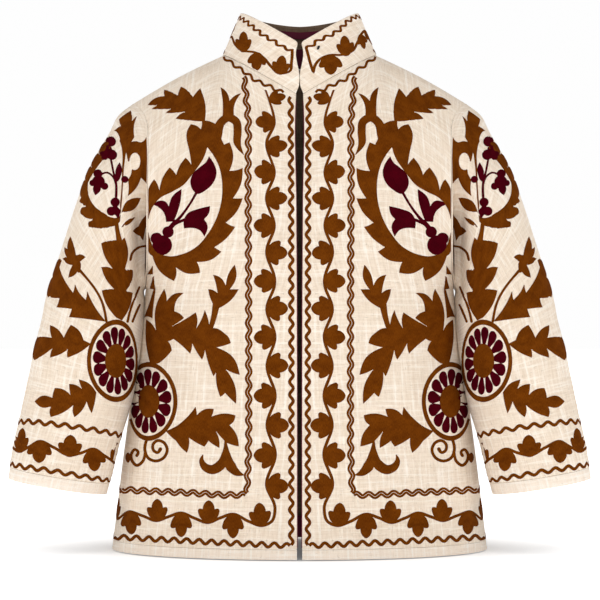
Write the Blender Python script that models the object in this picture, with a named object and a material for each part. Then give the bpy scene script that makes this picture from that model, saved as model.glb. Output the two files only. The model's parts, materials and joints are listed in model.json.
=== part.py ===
"""Linen jacket with a stand collar, open in front, filled out in its worn shape.

Metres, +Z up. The front faces -Y and the wearer's left is +X. The origin is the middle of
the neck opening, level with the shoulders that carry the jacket. Every piece of cloth is a
closed wall: a grid of outer points worked out from the sizes below, and the same grid moved
inwards by the cloth's thickness.
"""

import math

import bmesh
import bpy
import numpy as np

SEAM_GAP = 0.0003
CLOTH = 0.0015
COLLAR_CLOTH = 0.0025
BAND_CLOTH = 0.0020
LINING_CLOTH = 0.0010

HEM_Z = -0.637
HEM_BAND = 0.0150
ARMPIT_Z = -0.300

# Height, half width at the side seam, depth in front and depth behind, from hem to armpit.
GIRTH = (
    (-0.637, 0.2435, 0.1400, 0.1360),
    (-0.555, 0.2335, 0.1370, 0.1310),
    (-0.450, 0.2200, 0.1320, 0.1240),
    (-0.370, 0.2085, 0.1285, 0.1190),
    (-0.300, 0.1995, 0.1260, 0.1160),
)

# Neck seam: half width, depth in front and behind, height in front, at the side and behind.
NECK = dict(half_width=0.100, front=0.083, back=0.076, z_front=-0.0567, z_side=0.0026, z_back=-0.008)
COLLAR_TOP = dict(half_width=0.077, front=0.071, back=0.062, z_front=0.0117, z_side=0.0572, z_back=0.0476)

SHOULDER_TIP = (0.2165, -0.0600)
SHOULDER_BOW = 0.0030
ARMHOLE_X = 0.1926
ARMPIT_X = 0.1995
ARMHOLE_FRONT = 0.072
ARMHOLE_BACK = 0.078
TIP_SHARPNESS = 18
PIT_SHARPNESS = 10

# Half of the gap between the two front edges, by height.
FRONT_GAP = (
    (-0.6370, 0.0033),
    (-0.4500, 0.0033),
    (-0.1900, 0.0042),
    (-0.0700, 0.0053),
    (-0.0567, 0.0046),
)
# The same for the collar's ends, by share of the collar's height. They all but meet low down.
COLLAR_GAP = (
    (0.00, 0.0046),
    (0.08, 0.0031),
    (0.16, 0.0012),
    (0.26, 0.0004),
    (0.40, 0.0004),
    (0.47, 0.0011),
    (0.58, 0.0029),
    (0.72, 0.0046),
    (0.85, 0.0042),
    (0.94, 0.0028),
    (1.00, 0.0024),
)
COLLAR_CORNER = 0.0030

# Sleeve rings from armhole to cuff: the outer and inner point of each in the XZ plane, how far
# its middle lies forward, and its half depths in front and behind.
SLEEVE = (
    # outer x, outer z, inner x, inner z, forward, front, back
    (0.2165, -0.0600, 0.1995, -0.3000, 0.000, 0.0720, 0.0780),
    (0.2355, -0.0759, 0.2022, -0.3030, 0.003, 0.0705, 0.0760),
    (0.2475, -0.1000, 0.2036, -0.3080, 0.006, 0.0690, 0.0735),
    (0.2705, -0.1400, 0.2044, -0.3180, 0.011, 0.0670, 0.0700),
    (0.2850, -0.1800, 0.2050, -0.3300, 0.016, 0.0655, 0.0670),
    (0.2980, -0.2200, 0.2056, -0.3430, 0.021, 0.0645, 0.0640),
    (0.3102, -0.2600, 0.2064, -0.3570, 0.026, 0.0635, 0.0615),
    (0.3230, -0.3000, 0.2078, -0.3730, 0.030, 0.0625, 0.0600),
    (0.3314, -0.3400, 0.2105, -0.3930, 0.034, 0.0615, 0.0590),
    (0.3415, -0.3790, 0.2140, -0.4160, 0.037, 0.0600, 0.0580),
    (0.3480, -0.4176, 0.2188, -0.4460, 0.039, 0.0580, 0.0570),
    (0.3565, -0.4562, 0.2265, -0.4815, 0.041, 0.0555, 0.0550),
    (0.3660, -0.4990, 0.2362, -0.5220, 0.043, 0.0525, 0.0525),
    (0.3726, -0.5424, 0.2466, -0.5630, 0.045, 0.0495, 0.0500),
)
CUFF_BAND = 0.0150

# The fold in front of the armhole, where the sleeve turns back behind the body's edge, and the
# shallower one behind: where each is deepest round the armhole, how far it reaches either way,
# its depth, and its width out along the sleeve.
FRONT_FOLD = dict(middle=116, reach=60, depth=0.036, width=0.042)
BACK_FOLD = dict(middle=-118, reach=55, depth=0.014, width=0.036)
FOLD_START = 0.004
SEAM_REACH = 0.005

PANEL_COLUMNS = 14
SKIRT_ROWS = 10
CORNER_REACH = 0.24
YOKE_ROWS = 12
NECK_COLUMNS = 7
SLEEVE_RINGS = (0, 0.035, 0.09, 0.17, 0.28, 0.41, 0.56, 0.75, 1.0)
SLEEVE_LOWER_RINGS = 9

FACING_WIDTH = 0.028
FACING_REACH = 0.0010
HEM_FACING = 0.030
COLLAR_LINING = 0.026
TAPE_WIDTH = 0.009
TAPE_DROP = 0.0075

STUD_AT = (0.0238, 0.0055)
STUD_RADIUS = 0.0024
STUD_HEIGHT = 0.0014

LINEN = ("linen", (0.84, 0.72, 0.58), 0.9, 0.0)
MAROON = ("maroon_cotton", (0.08, 0.012, 0.025), 0.85, 0.0)
BLACK_METAL = ("black_metal", (0.02, 0.018, 0.018), 0.35, 0.9)


def smooth_table(rows, at):
    """Reads a table at the given values of its first column, along a smooth curve through its rows."""
    table = np.array(rows, float)
    if table[0, 0] > table[-1, 0]:
        table = table[::-1]
    known, values = table[:, 0], table[:, 1:]
    slope = np.gradient(values, known, axis=0)
    at = np.clip(np.asarray(at, float), known[0], known[-1])
    i = np.clip(np.searchsorted(known, at, side="right") - 1, 0, len(known) - 2)
    step = (known[i + 1] - known[i])[..., None]
    share = (at - known[i])[..., None] / step
    return hermite(values[i], values[i + 1], slope[i] * step, slope[i + 1] * step, share)


def hermite(start, end, leaving, arriving, share):
    """The cubic from start to end with these two tangents."""
    s2, s3 = share * share, share * share * share
    return (
        start * (2 * s3 - 3 * s2 + 1)
        + leaving * (s3 - 2 * s2 + share)
        + end * (3 * s2 - 2 * s3)
        + arriving * (s3 - s2)
    )


def smoothstep(low, high, value):
    share = np.clip((np.asarray(value, float) - low) / (high - low), 0, 1)
    return share * share * (3 - 2 * share)


def point(x, y, z):
    return np.array([x, y, z], float)


def front_gap(z):
    return float(smooth_table(FRONT_GAP, z)[0])


def armhole(phi, facing):
    """Where the sleeve seam runs: phi is 0 at the shoulder tip and pi at the armpit, and facing is -1 in front."""
    share = (1 + math.cos(phi)) / 2
    x = (
        ARMHOLE_X
        + (SHOULDER_TIP[0] - ARMHOLE_X) * share**TIP_SHARPNESS
        + (ARMPIT_X - ARMHOLE_X) * (1 - share) ** PIT_SHARPNESS
    )
    depth = ARMHOLE_FRONT if facing < 0 else ARMHOLE_BACK
    middle = (SHOULDER_TIP[1] + ARMPIT_Z) / 2
    half = (SHOULDER_TIP[1] - ARMPIT_Z) / 2
    return point(x, facing * depth * math.sin(phi), middle + half * math.cos(phi))


def neck_curve(size, psi):
    """A ring round the neck: psi is 0 at the centre front and pi at the centre back."""
    in_front = math.cos(psi) >= 0
    across = math.sin(psi)
    depth = size["front"] if in_front else size["back"]
    end = size["z_front"] if in_front else size["z_back"]
    rise = across if in_front else across**1.5
    z = end + (size["z_side"] - end) * rise
    return point(size["half_width"] * across, -depth * math.cos(psi), z)


def skirt_point(s, z, facing):
    """The body below the armpits: s is 0 at the centre and 1 at the side seam."""
    half_width, front, back = smooth_table(GIRTH, z)
    depth = front if facing < 0 else back
    inner = front_gap(z) if facing < 0 else 0.0
    start = math.asin(inner / half_width)
    end = math.acos(SEAM_GAP / 2 / depth)
    angle = start + (end - start) * s
    return point(half_width * math.sin(angle), facing * depth * math.cos(angle), z)


def top_point(s, facing):
    """The body's top edge: the neck seam up to its middle column, then the shoulder seam."""
    neck_share = NECK_COLUMNS / PANEL_COLUMNS
    side = facing * SEAM_GAP / 2
    if s <= neck_share:
        inner = front_gap(NECK["z_front"]) if facing < 0 else 0.0
        start = math.asin(inner / NECK["half_width"])
        psi = start + (math.pi / 2 - start) * s / neck_share
        if facing > 0:
            psi = math.pi - psi
        found = neck_curve(NECK, psi)
        if s == neck_share:
            found[1] = side
        return found
    share = (s - neck_share) / (1 - neck_share)
    neck_point = neck_curve(NECK, math.pi / 2)
    bow = SHOULDER_BOW * math.sin(math.pi * share)
    return point(
        neck_point[0] + (SHOULDER_TIP[0] - neck_point[0]) * share,
        side,
        neck_point[2] + (SHOULDER_TIP[1] - neck_point[2]) * share + bow,
    )


def softened_top(s, t, facing):
    """The top edge as the cloth below feels it: its corner at the neck is rounded off away from the seams."""
    reach = min(CORNER_REACH * (1 - t**3), 1 - s)
    found = point(0, 0, 0)
    for k in range(-4, 5):
        at = s + reach * k / 4
        near = top_point(abs(at), facing)
        if at < 0:
            near[0] = -near[0]
        found += near
    return found / 9


def yoke_point(s, t, facing):
    """The body above the armpits: t is 0 at the armpit and 1 at the neck and shoulder seams."""
    below = skirt_point(s, ARMPIT_Z, facing)
    height = 0.30
    step = 0.01
    leaving = (below - skirt_point(s, ARMPIT_Z - step, facing)) * height / step
    neck_share = NECK_COLUMNS / PANEL_COLUMNS
    over = float(smoothstep(0.0, neck_share, s))
    to_neck = point(0.0, -facing * 0.05, 0.16)
    to_ridge = point(0.0, -facing * 0.20, 0.05)
    arriving = to_neck * (1 - over) + to_ridge * over
    lofted = hermite(below, softened_top(s, t, facing), leaving, arriving, t)
    edge = hermite(skirt_point(1, ARMPIT_Z, facing), top_point(1, facing), leaving_side(facing), to_ridge, t)
    seam = armhole(math.pi * (1 - t), facing)
    if t in (0.0, 1.0):
        seam = edge
    lofted = lofted + (seam - edge) * s**2.2
    if facing < 0:
        centre = hermite(
            skirt_point(0, ARMPIT_Z, facing), softened_top(0, t, facing), point(0, 0.01, height), to_neck, t
        )
        lofted[0] += (front_gap(centre[2]) - centre[0]) * (1 - s) ** 6
    return lofted


def leaving_side(facing):
    step = 0.01
    rise = skirt_point(1, ARMPIT_Z, facing) - skirt_point(1, ARMPIT_Z - step, facing)
    return rise * 0.30 / step


def body_rows(facing):
    """Outer points of half a body panel, by row from the hem band up, and by column from the centre out."""
    lowest = HEM_Z + HEM_BAND
    skirt = np.linspace(lowest, ARMPIT_Z, SKIRT_ROWS + 1)
    columns = np.linspace(0, 1, PANEL_COLUMNS + 1)
    rows = [[skirt_point(s, z, facing) for s in columns] for z in skirt]
    for k in range(1, YOKE_ROWS + 1):
        rows.append([yoke_point(s, k / YOKE_ROWS, facing) for s in columns])
    return np.array(rows)


def normals_of(grid, closed=False):
    """Unit normals of a grid of points, from its rows and columns."""
    along = np.gradient(grid, axis=0)
    if closed:
        across = (np.roll(grid, -1, axis=1) - np.roll(grid, 1, axis=1)) / 2
    else:
        across = np.gradient(grid, axis=1)
    found = np.cross(across, along)
    return found / np.linalg.norm(found, axis=2, keepdims=True)


def unit(vectors):
    return vectors / np.linalg.norm(vectors, axis=-1, keepdims=True)


def body_inward(outer, facing):
    """Which way the cloth's thickness goes on half a panel. At a seam it stays in the seam's own plane."""
    inward = -normals_of(outer) * (1 if facing < 0 else -1)
    side_rows = slice(0, SKIRT_ROWS + 1)
    inward[side_rows, -1, 1] = 0
    inward[SKIRT_ROWS + 1 :, -1, 0] = 0
    inward[-1, NECK_COLUMNS:, 1] = 0
    inward[-1, -1] = (0, 0, -1)
    inward[0, :, 2] = 0
    inward[:, 0, 0] = 0
    return unit(inward)


def mirrored(grid):
    return grid * np.array([-1, 1, 1])


def add_wall(name, outer, inner, material, closed=False):
    """One closed body between two grids of points. A closed grid's columns go round a tube."""
    rows, columns = outer.shape[:2]
    mesh = bmesh.new()
    layers = [
        [[mesh.verts.new(grid[i, j]) for j in range(columns)] for i in range(rows)]
        for grid in (outer, inner)
    ]
    last = columns if closed else columns - 1
    for layer in layers:
        for i in range(rows - 1):
            for j in range(last):
                k = (j + 1) % columns
                mesh.faces.new((layer[i][j], layer[i][k], layer[i + 1][k], layer[i + 1][j]))
    front, back = layers
    for i in (0, rows - 1):
        for j in range(last):
            k = (j + 1) % columns
            mesh.faces.new((front[i][j], front[i][k], back[i][k], back[i][j]))
    if not closed:
        for j in (0, columns - 1):
            for i in range(rows - 1):
                mesh.faces.new((front[i][j], front[i + 1][j], back[i + 1][j], back[i][j]))
    bmesh.ops.recalc_face_normals(mesh, faces=mesh.faces[:])
    return add_object(name, mesh, material)


def add_object(name, mesh, material):
    data = bpy.data.meshes.new(name)
    mesh.to_mesh(data)
    mesh.free()
    data.shade_smooth()
    data.set_sharp_from_angle(angle=math.radians(50))
    obj = bpy.data.objects.new(name, data)
    data.materials.append(principled(*material))
    bpy.context.scene.collection.objects.link(obj)
    return obj


def principled(name, colour, roughness, metallic):
    found = bpy.data.materials.get(name)
    if found:
        return found
    made = bpy.data.materials.new(name)
    made.use_nodes = True
    shader = made.node_tree.nodes["Principled BSDF"]
    shader.inputs["Base Color"].default_value = (*colour, 1.0)
    shader.inputs["Roughness"].default_value = roughness
    shader.inputs["Metallic"].default_value = metallic
    return made


def both_sides(name, outer, inner, material, closed=False):
    """The wearer's left piece as worked out, and its mirror image on the right."""
    add_wall(name + "_left", outer, inner, material, closed)
    add_wall(name + "_right", mirrored(outer), mirrored(inner), material, closed)


def whole_width(half):
    """Both halves of a panel that has no centre seam, from the wearer's right to the left."""
    return np.concatenate([mirrored(half)[:, :0:-1], half], axis=1)


def make_body():
    front = body_rows(-1)
    both_sides("front", front, front + body_inward(front, -1) * CLOTH, LINEN)
    back = body_rows(1)
    inward = body_inward(back, 1)
    add_wall("back", whole_width(back), whole_width(back + inward * CLOTH), LINEN)
    return front, back


def hem_band_rows(facing, columns=PANEL_COLUMNS):
    top = HEM_Z + HEM_BAND - SEAM_GAP
    return np.array(
        [[skirt_point(s, z, facing) for s in np.linspace(0, 1, columns + 1)] for z in (HEM_Z, top)]
    )


def level_inward(grid, facing):
    """Horizontal thickness direction of a strip that ends in the side seam's plane."""
    across = np.gradient(grid, axis=1)
    flat = np.stack([across[..., 1], -across[..., 0], np.zeros(across.shape[:2])], axis=-1)
    flat = unit(flat) * (-1 if facing < 0 else 1)
    flat[:, -1, 1] = 0
    flat[:, 0, 0] = 0
    return unit(flat)


def make_hem_bands():
    front = hem_band_rows(-1)
    both_sides("hem_band", front, front + level_inward(front, -1) * BAND_CLOTH, LINEN)
    back = hem_band_rows(1)
    inner = back + level_inward(back, 1) * BAND_CLOTH
    add_wall("hem_band_back", whole_width(back), whole_width(inner), LINEN)


def sleeve_ring(r):
    """Outer point, inner point, forward shift and half depths of the ring at r, in rows of the sleeve's table."""
    numbered = [(k, *row) for k, row in enumerate(SLEEVE)]
    return smooth_table(numbered, r)


def fold_depth(fold, degrees, reach_out):
    """How deep the cloth lies in a fold, at this angle round the armhole and this far out along the sleeve."""
    off = abs((degrees - fold["middle"] + 180) % 360 - 180) / fold["reach"]
    if off >= 1:
        return 0.0
    round_share = math.cos(off * math.pi / 2) ** 2
    out_share = float(smoothstep(0, FOLD_START, reach_out))
    out_share *= 1 - float(smoothstep(0.4 * fold["width"], fold["width"], reach_out))
    return fold["depth"] * round_share * out_share


def sleeve_point(r, degrees):
    """A point of the left sleeve's outer face. Degrees go from the shoulder tip by the front to the armpit."""
    phi = math.radians(degrees)
    outer_x, outer_z, inner_x, inner_z, forward, front, back = sleeve_ring(r)
    share = (1 + math.cos(phi)) / 2
    facing = -1 if math.sin(phi) >= 0 else 1
    depth = front if facing < 0 else back
    x = inner_x + (outer_x - inner_x) * share
    z = inner_z + (outer_z - inner_z) * share
    seam = armhole(abs((degrees + 180) % 360 - 180) * math.pi / 180, facing)
    straight = ARMPIT_X + (SHOULDER_TIP[0] - ARMPIT_X) * share
    x += (seam[0] - straight) * (1 - float(smoothstep(0, 3.5, r)))
    y = -forward - depth * math.sin(phi)
    reach_out = math.hypot(x - seam[0], z - seam[2])
    dip_front = fold_depth(FRONT_FOLD, degrees, reach_out)
    dip_back = fold_depth(BACK_FOLD, degrees, reach_out)
    near_seam = 1 - float(smoothstep(0, SEAM_REACH, reach_out))
    clear = SEAM_GAP + near_seam * (CLOTH * fold_weight(degrees) + 0.0002 * (1 - share) ** 10)
    return point(x + clear, y + dip_front - dip_back, z)


def fold_weight(degrees):
    """How far the cloth beside the armhole seam runs straight back into a fold, from 0 to 1."""
    past = 2 * FOLD_START
    deepest = FRONT_FOLD["depth"]
    dip = fold_depth(FRONT_FOLD, degrees, past) + fold_depth(BACK_FOLD, degrees, past)
    return min(1.0, dip / deepest)


def sleeve_rows():
    """Ring positions down the sleeve, close together where the fold is and evenly spaced below."""
    last = len(SLEEVE) - 1
    upper = [share * 5 for share in SLEEVE_RINGS]
    lower = np.linspace(upper[-1], last, SLEEVE_LOWER_RINGS)[1:]
    return [*upper, *lower]


def make_sleeves():
    segments = 2 * YOKE_ROWS
    turns = np.arange(segments) * 360 / segments
    outer = np.array([[sleeve_point(r, a) for a in turns] for r in sleeve_rows()])
    inward = -normals_of(outer, closed=True)
    weight = np.array([fold_weight(a) for a in turns])[:, None]
    middle = outer[0].mean(axis=0)
    in_plane = (middle - outer[0]) * np.array([0, 1, 1])
    at_seam = unit(in_plane) * np.sqrt(1 - weight**2) + np.array([-1.0, 0, 0]) * weight
    reach = np.linalg.norm((outer - outer[0]) * np.array([1, 0, 1]), axis=2, keepdims=True)
    free = smoothstep(0, SEAM_REACH, reach)
    inward = unit(at_seam * (1 - free) + inward * free)
    inner = outer + inward * CLOTH
    axis = unit(outer[-1].mean(axis=0) - outer[-2].mean(axis=0))
    tail = unit(outer[-1] - outer[-2])
    band_outer = np.array([outer[-1] - tail * (CUFF_BAND - SEAM_GAP), outer[-1]])
    band_inward = unit((outer[-1].mean(axis=0) - outer[-1]) - ((outer[-1].mean(axis=0) - outer[-1]) @ axis)[:, None] * axis)
    band_inner = band_outer + band_inward * BAND_CLOTH
    outer[-1] = outer[-1] - tail * CUFF_BAND
    inner[-1] = outer[-1] + band_inward * CLOTH
    both_sides("sleeve", outer, inner, LINEN, closed=True)
    both_sides("cuff_band", band_outer, band_inner, LINEN, closed=True)


def collar_point(share, turn):
    """A point of the collar's outer face: share is 0 at the neck seam, and turn goes from -1 round the back to 1."""
    gap = float(smooth_table(COLLAR_GAP, share)[0])
    height = NECK["z_front"] + (COLLAR_TOP["z_front"] - NECK["z_front"]) * share
    below_top = max(0.0, COLLAR_TOP["z_front"] - height)
    if below_top < COLLAR_CORNER:
        gap += COLLAR_CORNER - math.sqrt(COLLAR_CORNER**2 - (COLLAR_CORNER - below_top) ** 2)
    half_width = NECK["half_width"] + (COLLAR_TOP["half_width"] - NECK["half_width"]) * share
    start = math.asin(gap / half_width)
    psi = ring_angle(abs(turn), start)
    low = neck_curve(NECK, psi) + point(0, 0, SEAM_GAP)
    high = neck_curve(COLLAR_TOP, psi)
    found = low + (high - low) * share
    return found * np.array([1 if turn > 0 else -1, 1, 1])


def ring_angle(turn, start):
    """The angle round the neck at turn: 0 is the centre back, 0.5 the side and 1 the front end."""
    if turn <= 0.5:
        return math.pi - turn * math.pi
    return math.pi / 2 - (turn - 0.5) * 2 * (math.pi / 2 - start)


def collar_rows(shares, turns):
    return np.array([[collar_point(share, turn) for turn in turns] for share in shares])


def round_neck_inward(grid):
    """Horizontal direction towards the neck's axis, square to the collar."""
    across = np.gradient(grid, axis=1)
    flat = np.stack([-across[..., 1], across[..., 0], np.zeros(across.shape[:2])], axis=-1)
    flat = unit(flat)
    centre = np.sum(flat * grid * np.array([1, 1, 0]), axis=-1, keepdims=True)
    return np.where(centre > 0, -flat, flat)


def make_collar():
    turns = np.linspace(-1, 1, 4 * NECK_COLUMNS + 1)
    shares = (0, 0.08, 0.16, 0.26, 0.40, 0.47, 0.58, 0.72, 0.85, 0.94, 0.975, 1.0)
    outer = collar_rows(shares, turns)
    inward = round_neck_inward(outer)
    inward[:, (0, -1), 0] = 0
    inward = unit(inward)
    add_wall("collar", outer, outer + inward * COLLAR_CLOTH, LINEN)


def inside_collar(name, low, high):
    """A maroon strip on the collar's inner face, round the back from one side of the neck to the other."""
    outer = collar_rows((low, high), np.arange(-9, 10) / 14)
    near = outer + round_neck_inward(outer) * (COLLAR_CLOTH + SEAM_GAP)
    add_wall(name, near, near + round_neck_inward(outer) * LINING_CLOTH, MAROON)


def make_collar_linings():
    height = COLLAR_TOP["z_back"] - NECK["z_back"]
    inside_collar("neck_tape", 1 - (TAPE_DROP + TAPE_WIDTH) / height, 1 - TAPE_DROP / height)
    inside_collar("collar_lining", 0.03, COLLAR_LINING / height)


def make_facings(front):
    """Maroon strips behind both front edges, which reach just past them into the gap."""
    inward = body_inward(front, -1)[:-1, 0]
    edge = front[:-1, 0]
    next_column = unit(front[:-1, 1] - edge)
    bend = front[:-1, 2] - edge
    level = bend - next_column * np.sum(bend * next_column, axis=1, keepdims=True)
    near = []
    for across in (-FACING_REACH, FACING_WIDTH / 2, FACING_WIDTH):
        bow = level * (across / 0.035) ** 2 if across > 0 else 0
        near.append(edge + next_column * across + bow + inward * (CLOTH + 2 * SEAM_GAP))
    near = np.stack(near, axis=1)
    thick = inward[:, None] * LINING_CLOTH
    both_sides("facing", near, near + thick, MAROON)


def make_hem_facing():
    """A maroon strip along the inside of the back hem, which shows through the gap in front."""
    columns = np.linspace(0, 1, PANEL_COLUMNS + 1)[:-1]
    heights = (HEM_Z + 0.0015, HEM_Z + HEM_FACING)
    outer = np.array([[skirt_point(s, z, 1) for s in columns] for z in heights])
    inward = level_inward(np.array([[skirt_point(s, z, 1) for s in np.linspace(0, 1, PANEL_COLUMNS + 1)] for z in heights]), 1)
    inward = inward[:, :-1]
    near = outer + inward * (BAND_CLOTH + SEAM_GAP)
    add_wall("hem_facing_back", whole_width(near), whole_width(near + inward * LINING_CLOTH), MAROON)


def make_stud():
    """The small dark press stud on the left end of the collar."""
    share = (STUD_AT[1] - NECK["z_front"]) / (COLLAR_TOP["z_front"] - NECK["z_front"])
    turn = 0.9
    for _ in range(20):
        found = collar_point(share, turn)
        turn += (found[0] - STUD_AT[0]) / 0.16
        share += (STUD_AT[1] - found[2]) / 0.07
    across = unit(collar_point(share, turn + 0.01) - collar_point(share, turn - 0.01))
    up = unit(collar_point(share + 0.01, turn) - collar_point(share - 0.01, turn))
    out = unit(np.cross(up, across))
    if out[1] > 0:
        out = -out
    mesh = bmesh.new()
    rings = []
    profile = ((1.0, 0.0), (1.0, 0.35), (0.86, 0.72), (0.5, 1.0))
    base = found + out * SEAM_GAP
    for size, rise in profile:
        ring = []
        for k in range(16):
            turn_round = k * math.pi / 8
            side = across * math.cos(turn_round) + up * math.sin(turn_round)
            ring.append(mesh.verts.new(base + side * STUD_RADIUS * size + out * STUD_HEIGHT * rise))
        rings.append(ring)
    for low, high in zip(rings, rings[1:]):
        for k in range(16):
            mesh.faces.new((low[k], low[(k + 1) % 16], high[(k + 1) % 16], high[k]))
    mesh.faces.new(rings[0])
    mesh.faces.new(rings[-1])
    bmesh.ops.recalc_face_normals(mesh, faces=mesh.faces[:])
    add_object("press_stud", mesh, BLACK_METAL)


def clear_scene():
    for obj in list(bpy.data.objects):
        bpy.data.objects.remove(obj, do_unlink=True)


def main():
    clear_scene()
    front, back = make_body()
    make_hem_bands()
    make_sleeves()
    make_collar()
    make_collar_linings()
    make_facings(front)
    make_hem_facing()
    make_stud()


if __name__ == "__main__":
    main()
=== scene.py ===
"""Looks of the linen jacket: cloth shells, raised embroidery, materials, light and camera."""

import json
import math

import bmesh
import bpy
import numpy as np
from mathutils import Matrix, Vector, geometry, noise
from mathutils.bvhtree import BVHTree

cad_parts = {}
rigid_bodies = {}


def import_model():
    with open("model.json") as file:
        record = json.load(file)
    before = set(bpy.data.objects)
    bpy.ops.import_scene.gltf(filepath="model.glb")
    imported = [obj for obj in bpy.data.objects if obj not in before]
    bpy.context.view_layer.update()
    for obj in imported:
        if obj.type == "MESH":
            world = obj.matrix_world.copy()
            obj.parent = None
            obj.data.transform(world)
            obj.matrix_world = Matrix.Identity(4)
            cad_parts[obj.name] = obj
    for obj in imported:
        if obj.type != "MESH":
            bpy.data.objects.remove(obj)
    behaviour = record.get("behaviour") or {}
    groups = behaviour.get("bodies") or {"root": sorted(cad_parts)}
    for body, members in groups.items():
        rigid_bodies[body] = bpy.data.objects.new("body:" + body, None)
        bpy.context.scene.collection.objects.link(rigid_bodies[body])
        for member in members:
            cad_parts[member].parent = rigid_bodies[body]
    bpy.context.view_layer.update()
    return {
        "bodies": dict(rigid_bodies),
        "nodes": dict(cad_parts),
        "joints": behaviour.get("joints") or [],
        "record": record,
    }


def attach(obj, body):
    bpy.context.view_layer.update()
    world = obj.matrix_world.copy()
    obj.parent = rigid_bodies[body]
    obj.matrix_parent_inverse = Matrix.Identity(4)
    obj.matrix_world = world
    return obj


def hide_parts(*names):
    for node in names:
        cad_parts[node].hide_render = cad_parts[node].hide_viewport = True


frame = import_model()

MM = 0.001

# The jacket's own sizes, as in the part.
SEAM_GAP = 0.0003
CLOTH = 0.0015
COLLAR_CLOTH = 0.0025
BAND_CLOTH = 0.0020
HEM_Z = -0.637
HEM_BAND = 0.0125
CUFF_BAND = 0.0150
ARMPIT_Z = -0.300
YOKE_HEIGHT = 0.30

# Height, half width at the side seam, depth in front and depth behind, from hem to armpit.
GIRTH = (
    (-0.637, 0.2435, 0.1400, 0.1360),
    (-0.555, 0.2335, 0.1370, 0.1310),
    (-0.450, 0.2200, 0.1320, 0.1240),
    (-0.370, 0.2085, 0.1285, 0.1190),
    (-0.300, 0.1995, 0.1260, 0.1160),
)
NECK = dict(half_width=0.100, front=0.083, back=0.076, z_front=-0.0567, z_side=0.0026, z_back=-0.008)
COLLAR_TOP = dict(half_width=0.077, front=0.071, back=0.062, z_front=0.0117, z_side=0.0572, z_back=0.0476)
SHOULDER_TIP = (0.2165, -0.0600)
SHOULDER_BOW = 0.0030
ARMHOLE_X = 0.1926
ARMPIT_X = 0.1995
ARMHOLE_FRONT = 0.072
ARMHOLE_BACK = 0.078
TIP_SHARPNESS = 18
PIT_SHARPNESS = 10
CORNER_REACH = 0.24
NECK_SHARE = 0.5

# Half of the gap between the front edges, by height, and between the collar's ends, by share of its height.
FRONT_GAP = (
    (-0.6370, 0.0033),
    (-0.4500, 0.0033),
    (-0.1900, 0.0042),
    (-0.0700, 0.0053),
    (-0.0567, 0.0046),
)
COLLAR_GAP = (
    (0.00, 0.0046),
    (0.08, 0.0031),
    (0.16, 0.0012),
    (0.26, 0.0004),
    (0.40, 0.0004),
    (0.47, 0.0011),
    (0.58, 0.0029),
    (0.72, 0.0046),
    (0.85, 0.0042),
    (0.94, 0.0028),
    (1.00, 0.0024),
)
COLLAR_CORNER = 0.0030

# Sleeve rings: the outer and inner point in the XZ plane, how far forward, half depths in front and behind.
SLEEVE = (
    (0.2165, -0.0600, 0.1995, -0.3000, 0.000, 0.0720, 0.0780),
    (0.2355, -0.0759, 0.2022, -0.3030, 0.003, 0.0705, 0.0760),
    (0.2475, -0.1000, 0.2036, -0.3080, 0.006, 0.0690, 0.0735),
    (0.2705, -0.1400, 0.2044, -0.3180, 0.011, 0.0670, 0.0700),
    (0.2850, -0.1800, 0.2050, -0.3300, 0.016, 0.0655, 0.0670),
    (0.2980, -0.2200, 0.2056, -0.3430, 0.021, 0.0645, 0.0640),
    (0.3102, -0.2600, 0.2064, -0.3570, 0.026, 0.0635, 0.0615),
    (0.3230, -0.3000, 0.2078, -0.3730, 0.030, 0.0625, 0.0600),
    (0.3314, -0.3400, 0.2105, -0.3930, 0.034, 0.0615, 0.0590),
    (0.3415, -0.3790, 0.2140, -0.4160, 0.037, 0.0600, 0.0580),
    (0.3480, -0.4176, 0.2188, -0.4460, 0.039, 0.0580, 0.0570),
    (0.3565, -0.4562, 0.2265, -0.4815, 0.041, 0.0555, 0.0550),
    (0.3660, -0.4990, 0.2362, -0.5220, 0.043, 0.0525, 0.0525),
    (0.3726, -0.5424, 0.2466, -0.5630, 0.045, 0.0495, 0.0500),
)
FRONT_FOLD = dict(middle=116, reach=60, depth=0.036, width=0.042)
BACK_FOLD = dict(middle=-118, reach=55, depth=0.014, width=0.036)
FOLD_START = 0.004
SEAM_REACH = 0.005
LAST_RING = len(SLEEVE) - 1
CLOSE_TO_BODY = 0.0045

# Fine grid of the shells.
COLUMNS = 56
SKIRT_ROWS = 64
YOKE_ROWS = 56
SLEEVE_TURNS = 120
COLLAR_TURNS = 168


def smooth_table(rows, at):
    table = np.array(rows, float)
    known, values = table[:, 0], table[:, 1:]
    slope = np.gradient(values, known, axis=0)
    at = np.clip(np.asarray(at, float), known[0], known[-1])
    i = np.clip(np.searchsorted(known, at, side="right") - 1, 0, len(known) - 2)
    step = (known[i + 1] - known[i])[..., None]
    share = (at - known[i])[..., None] / step
    return hermite(values[i], values[i + 1], slope[i] * step, slope[i + 1] * step, share)


def hermite(start, end, leaving, arriving, share):
    s2, s3 = share * share, share * share * share
    return (
        start * (2 * s3 - 3 * s2 + 1)
        + leaving * (s3 - 2 * s2 + share)
        + end * (3 * s2 - 2 * s3)
        + arriving * (s3 - s2)
    )


def smoothstep(low, high, value):
    share = np.clip((np.asarray(value, float) - low) / (high - low), 0, 1)
    return share * share * (3 - 2 * share)


def xyz(x, y, z):
    return np.stack(np.broadcast_arrays(x, y, z), axis=-1).astype(float)


def unit(vectors):
    return vectors / np.maximum(np.linalg.norm(vectors, axis=-1, keepdims=True), 1e-12)


def distance_along(points, axis=0):
    """How far each point lies along its line, from 0 at the first."""
    steps = np.linalg.norm(np.diff(points, axis=axis), axis=-1)
    start = np.zeros_like(np.take(steps, [0], axis=axis))
    return np.concatenate([start, np.cumsum(steps, axis=axis)], axis=axis)


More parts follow.
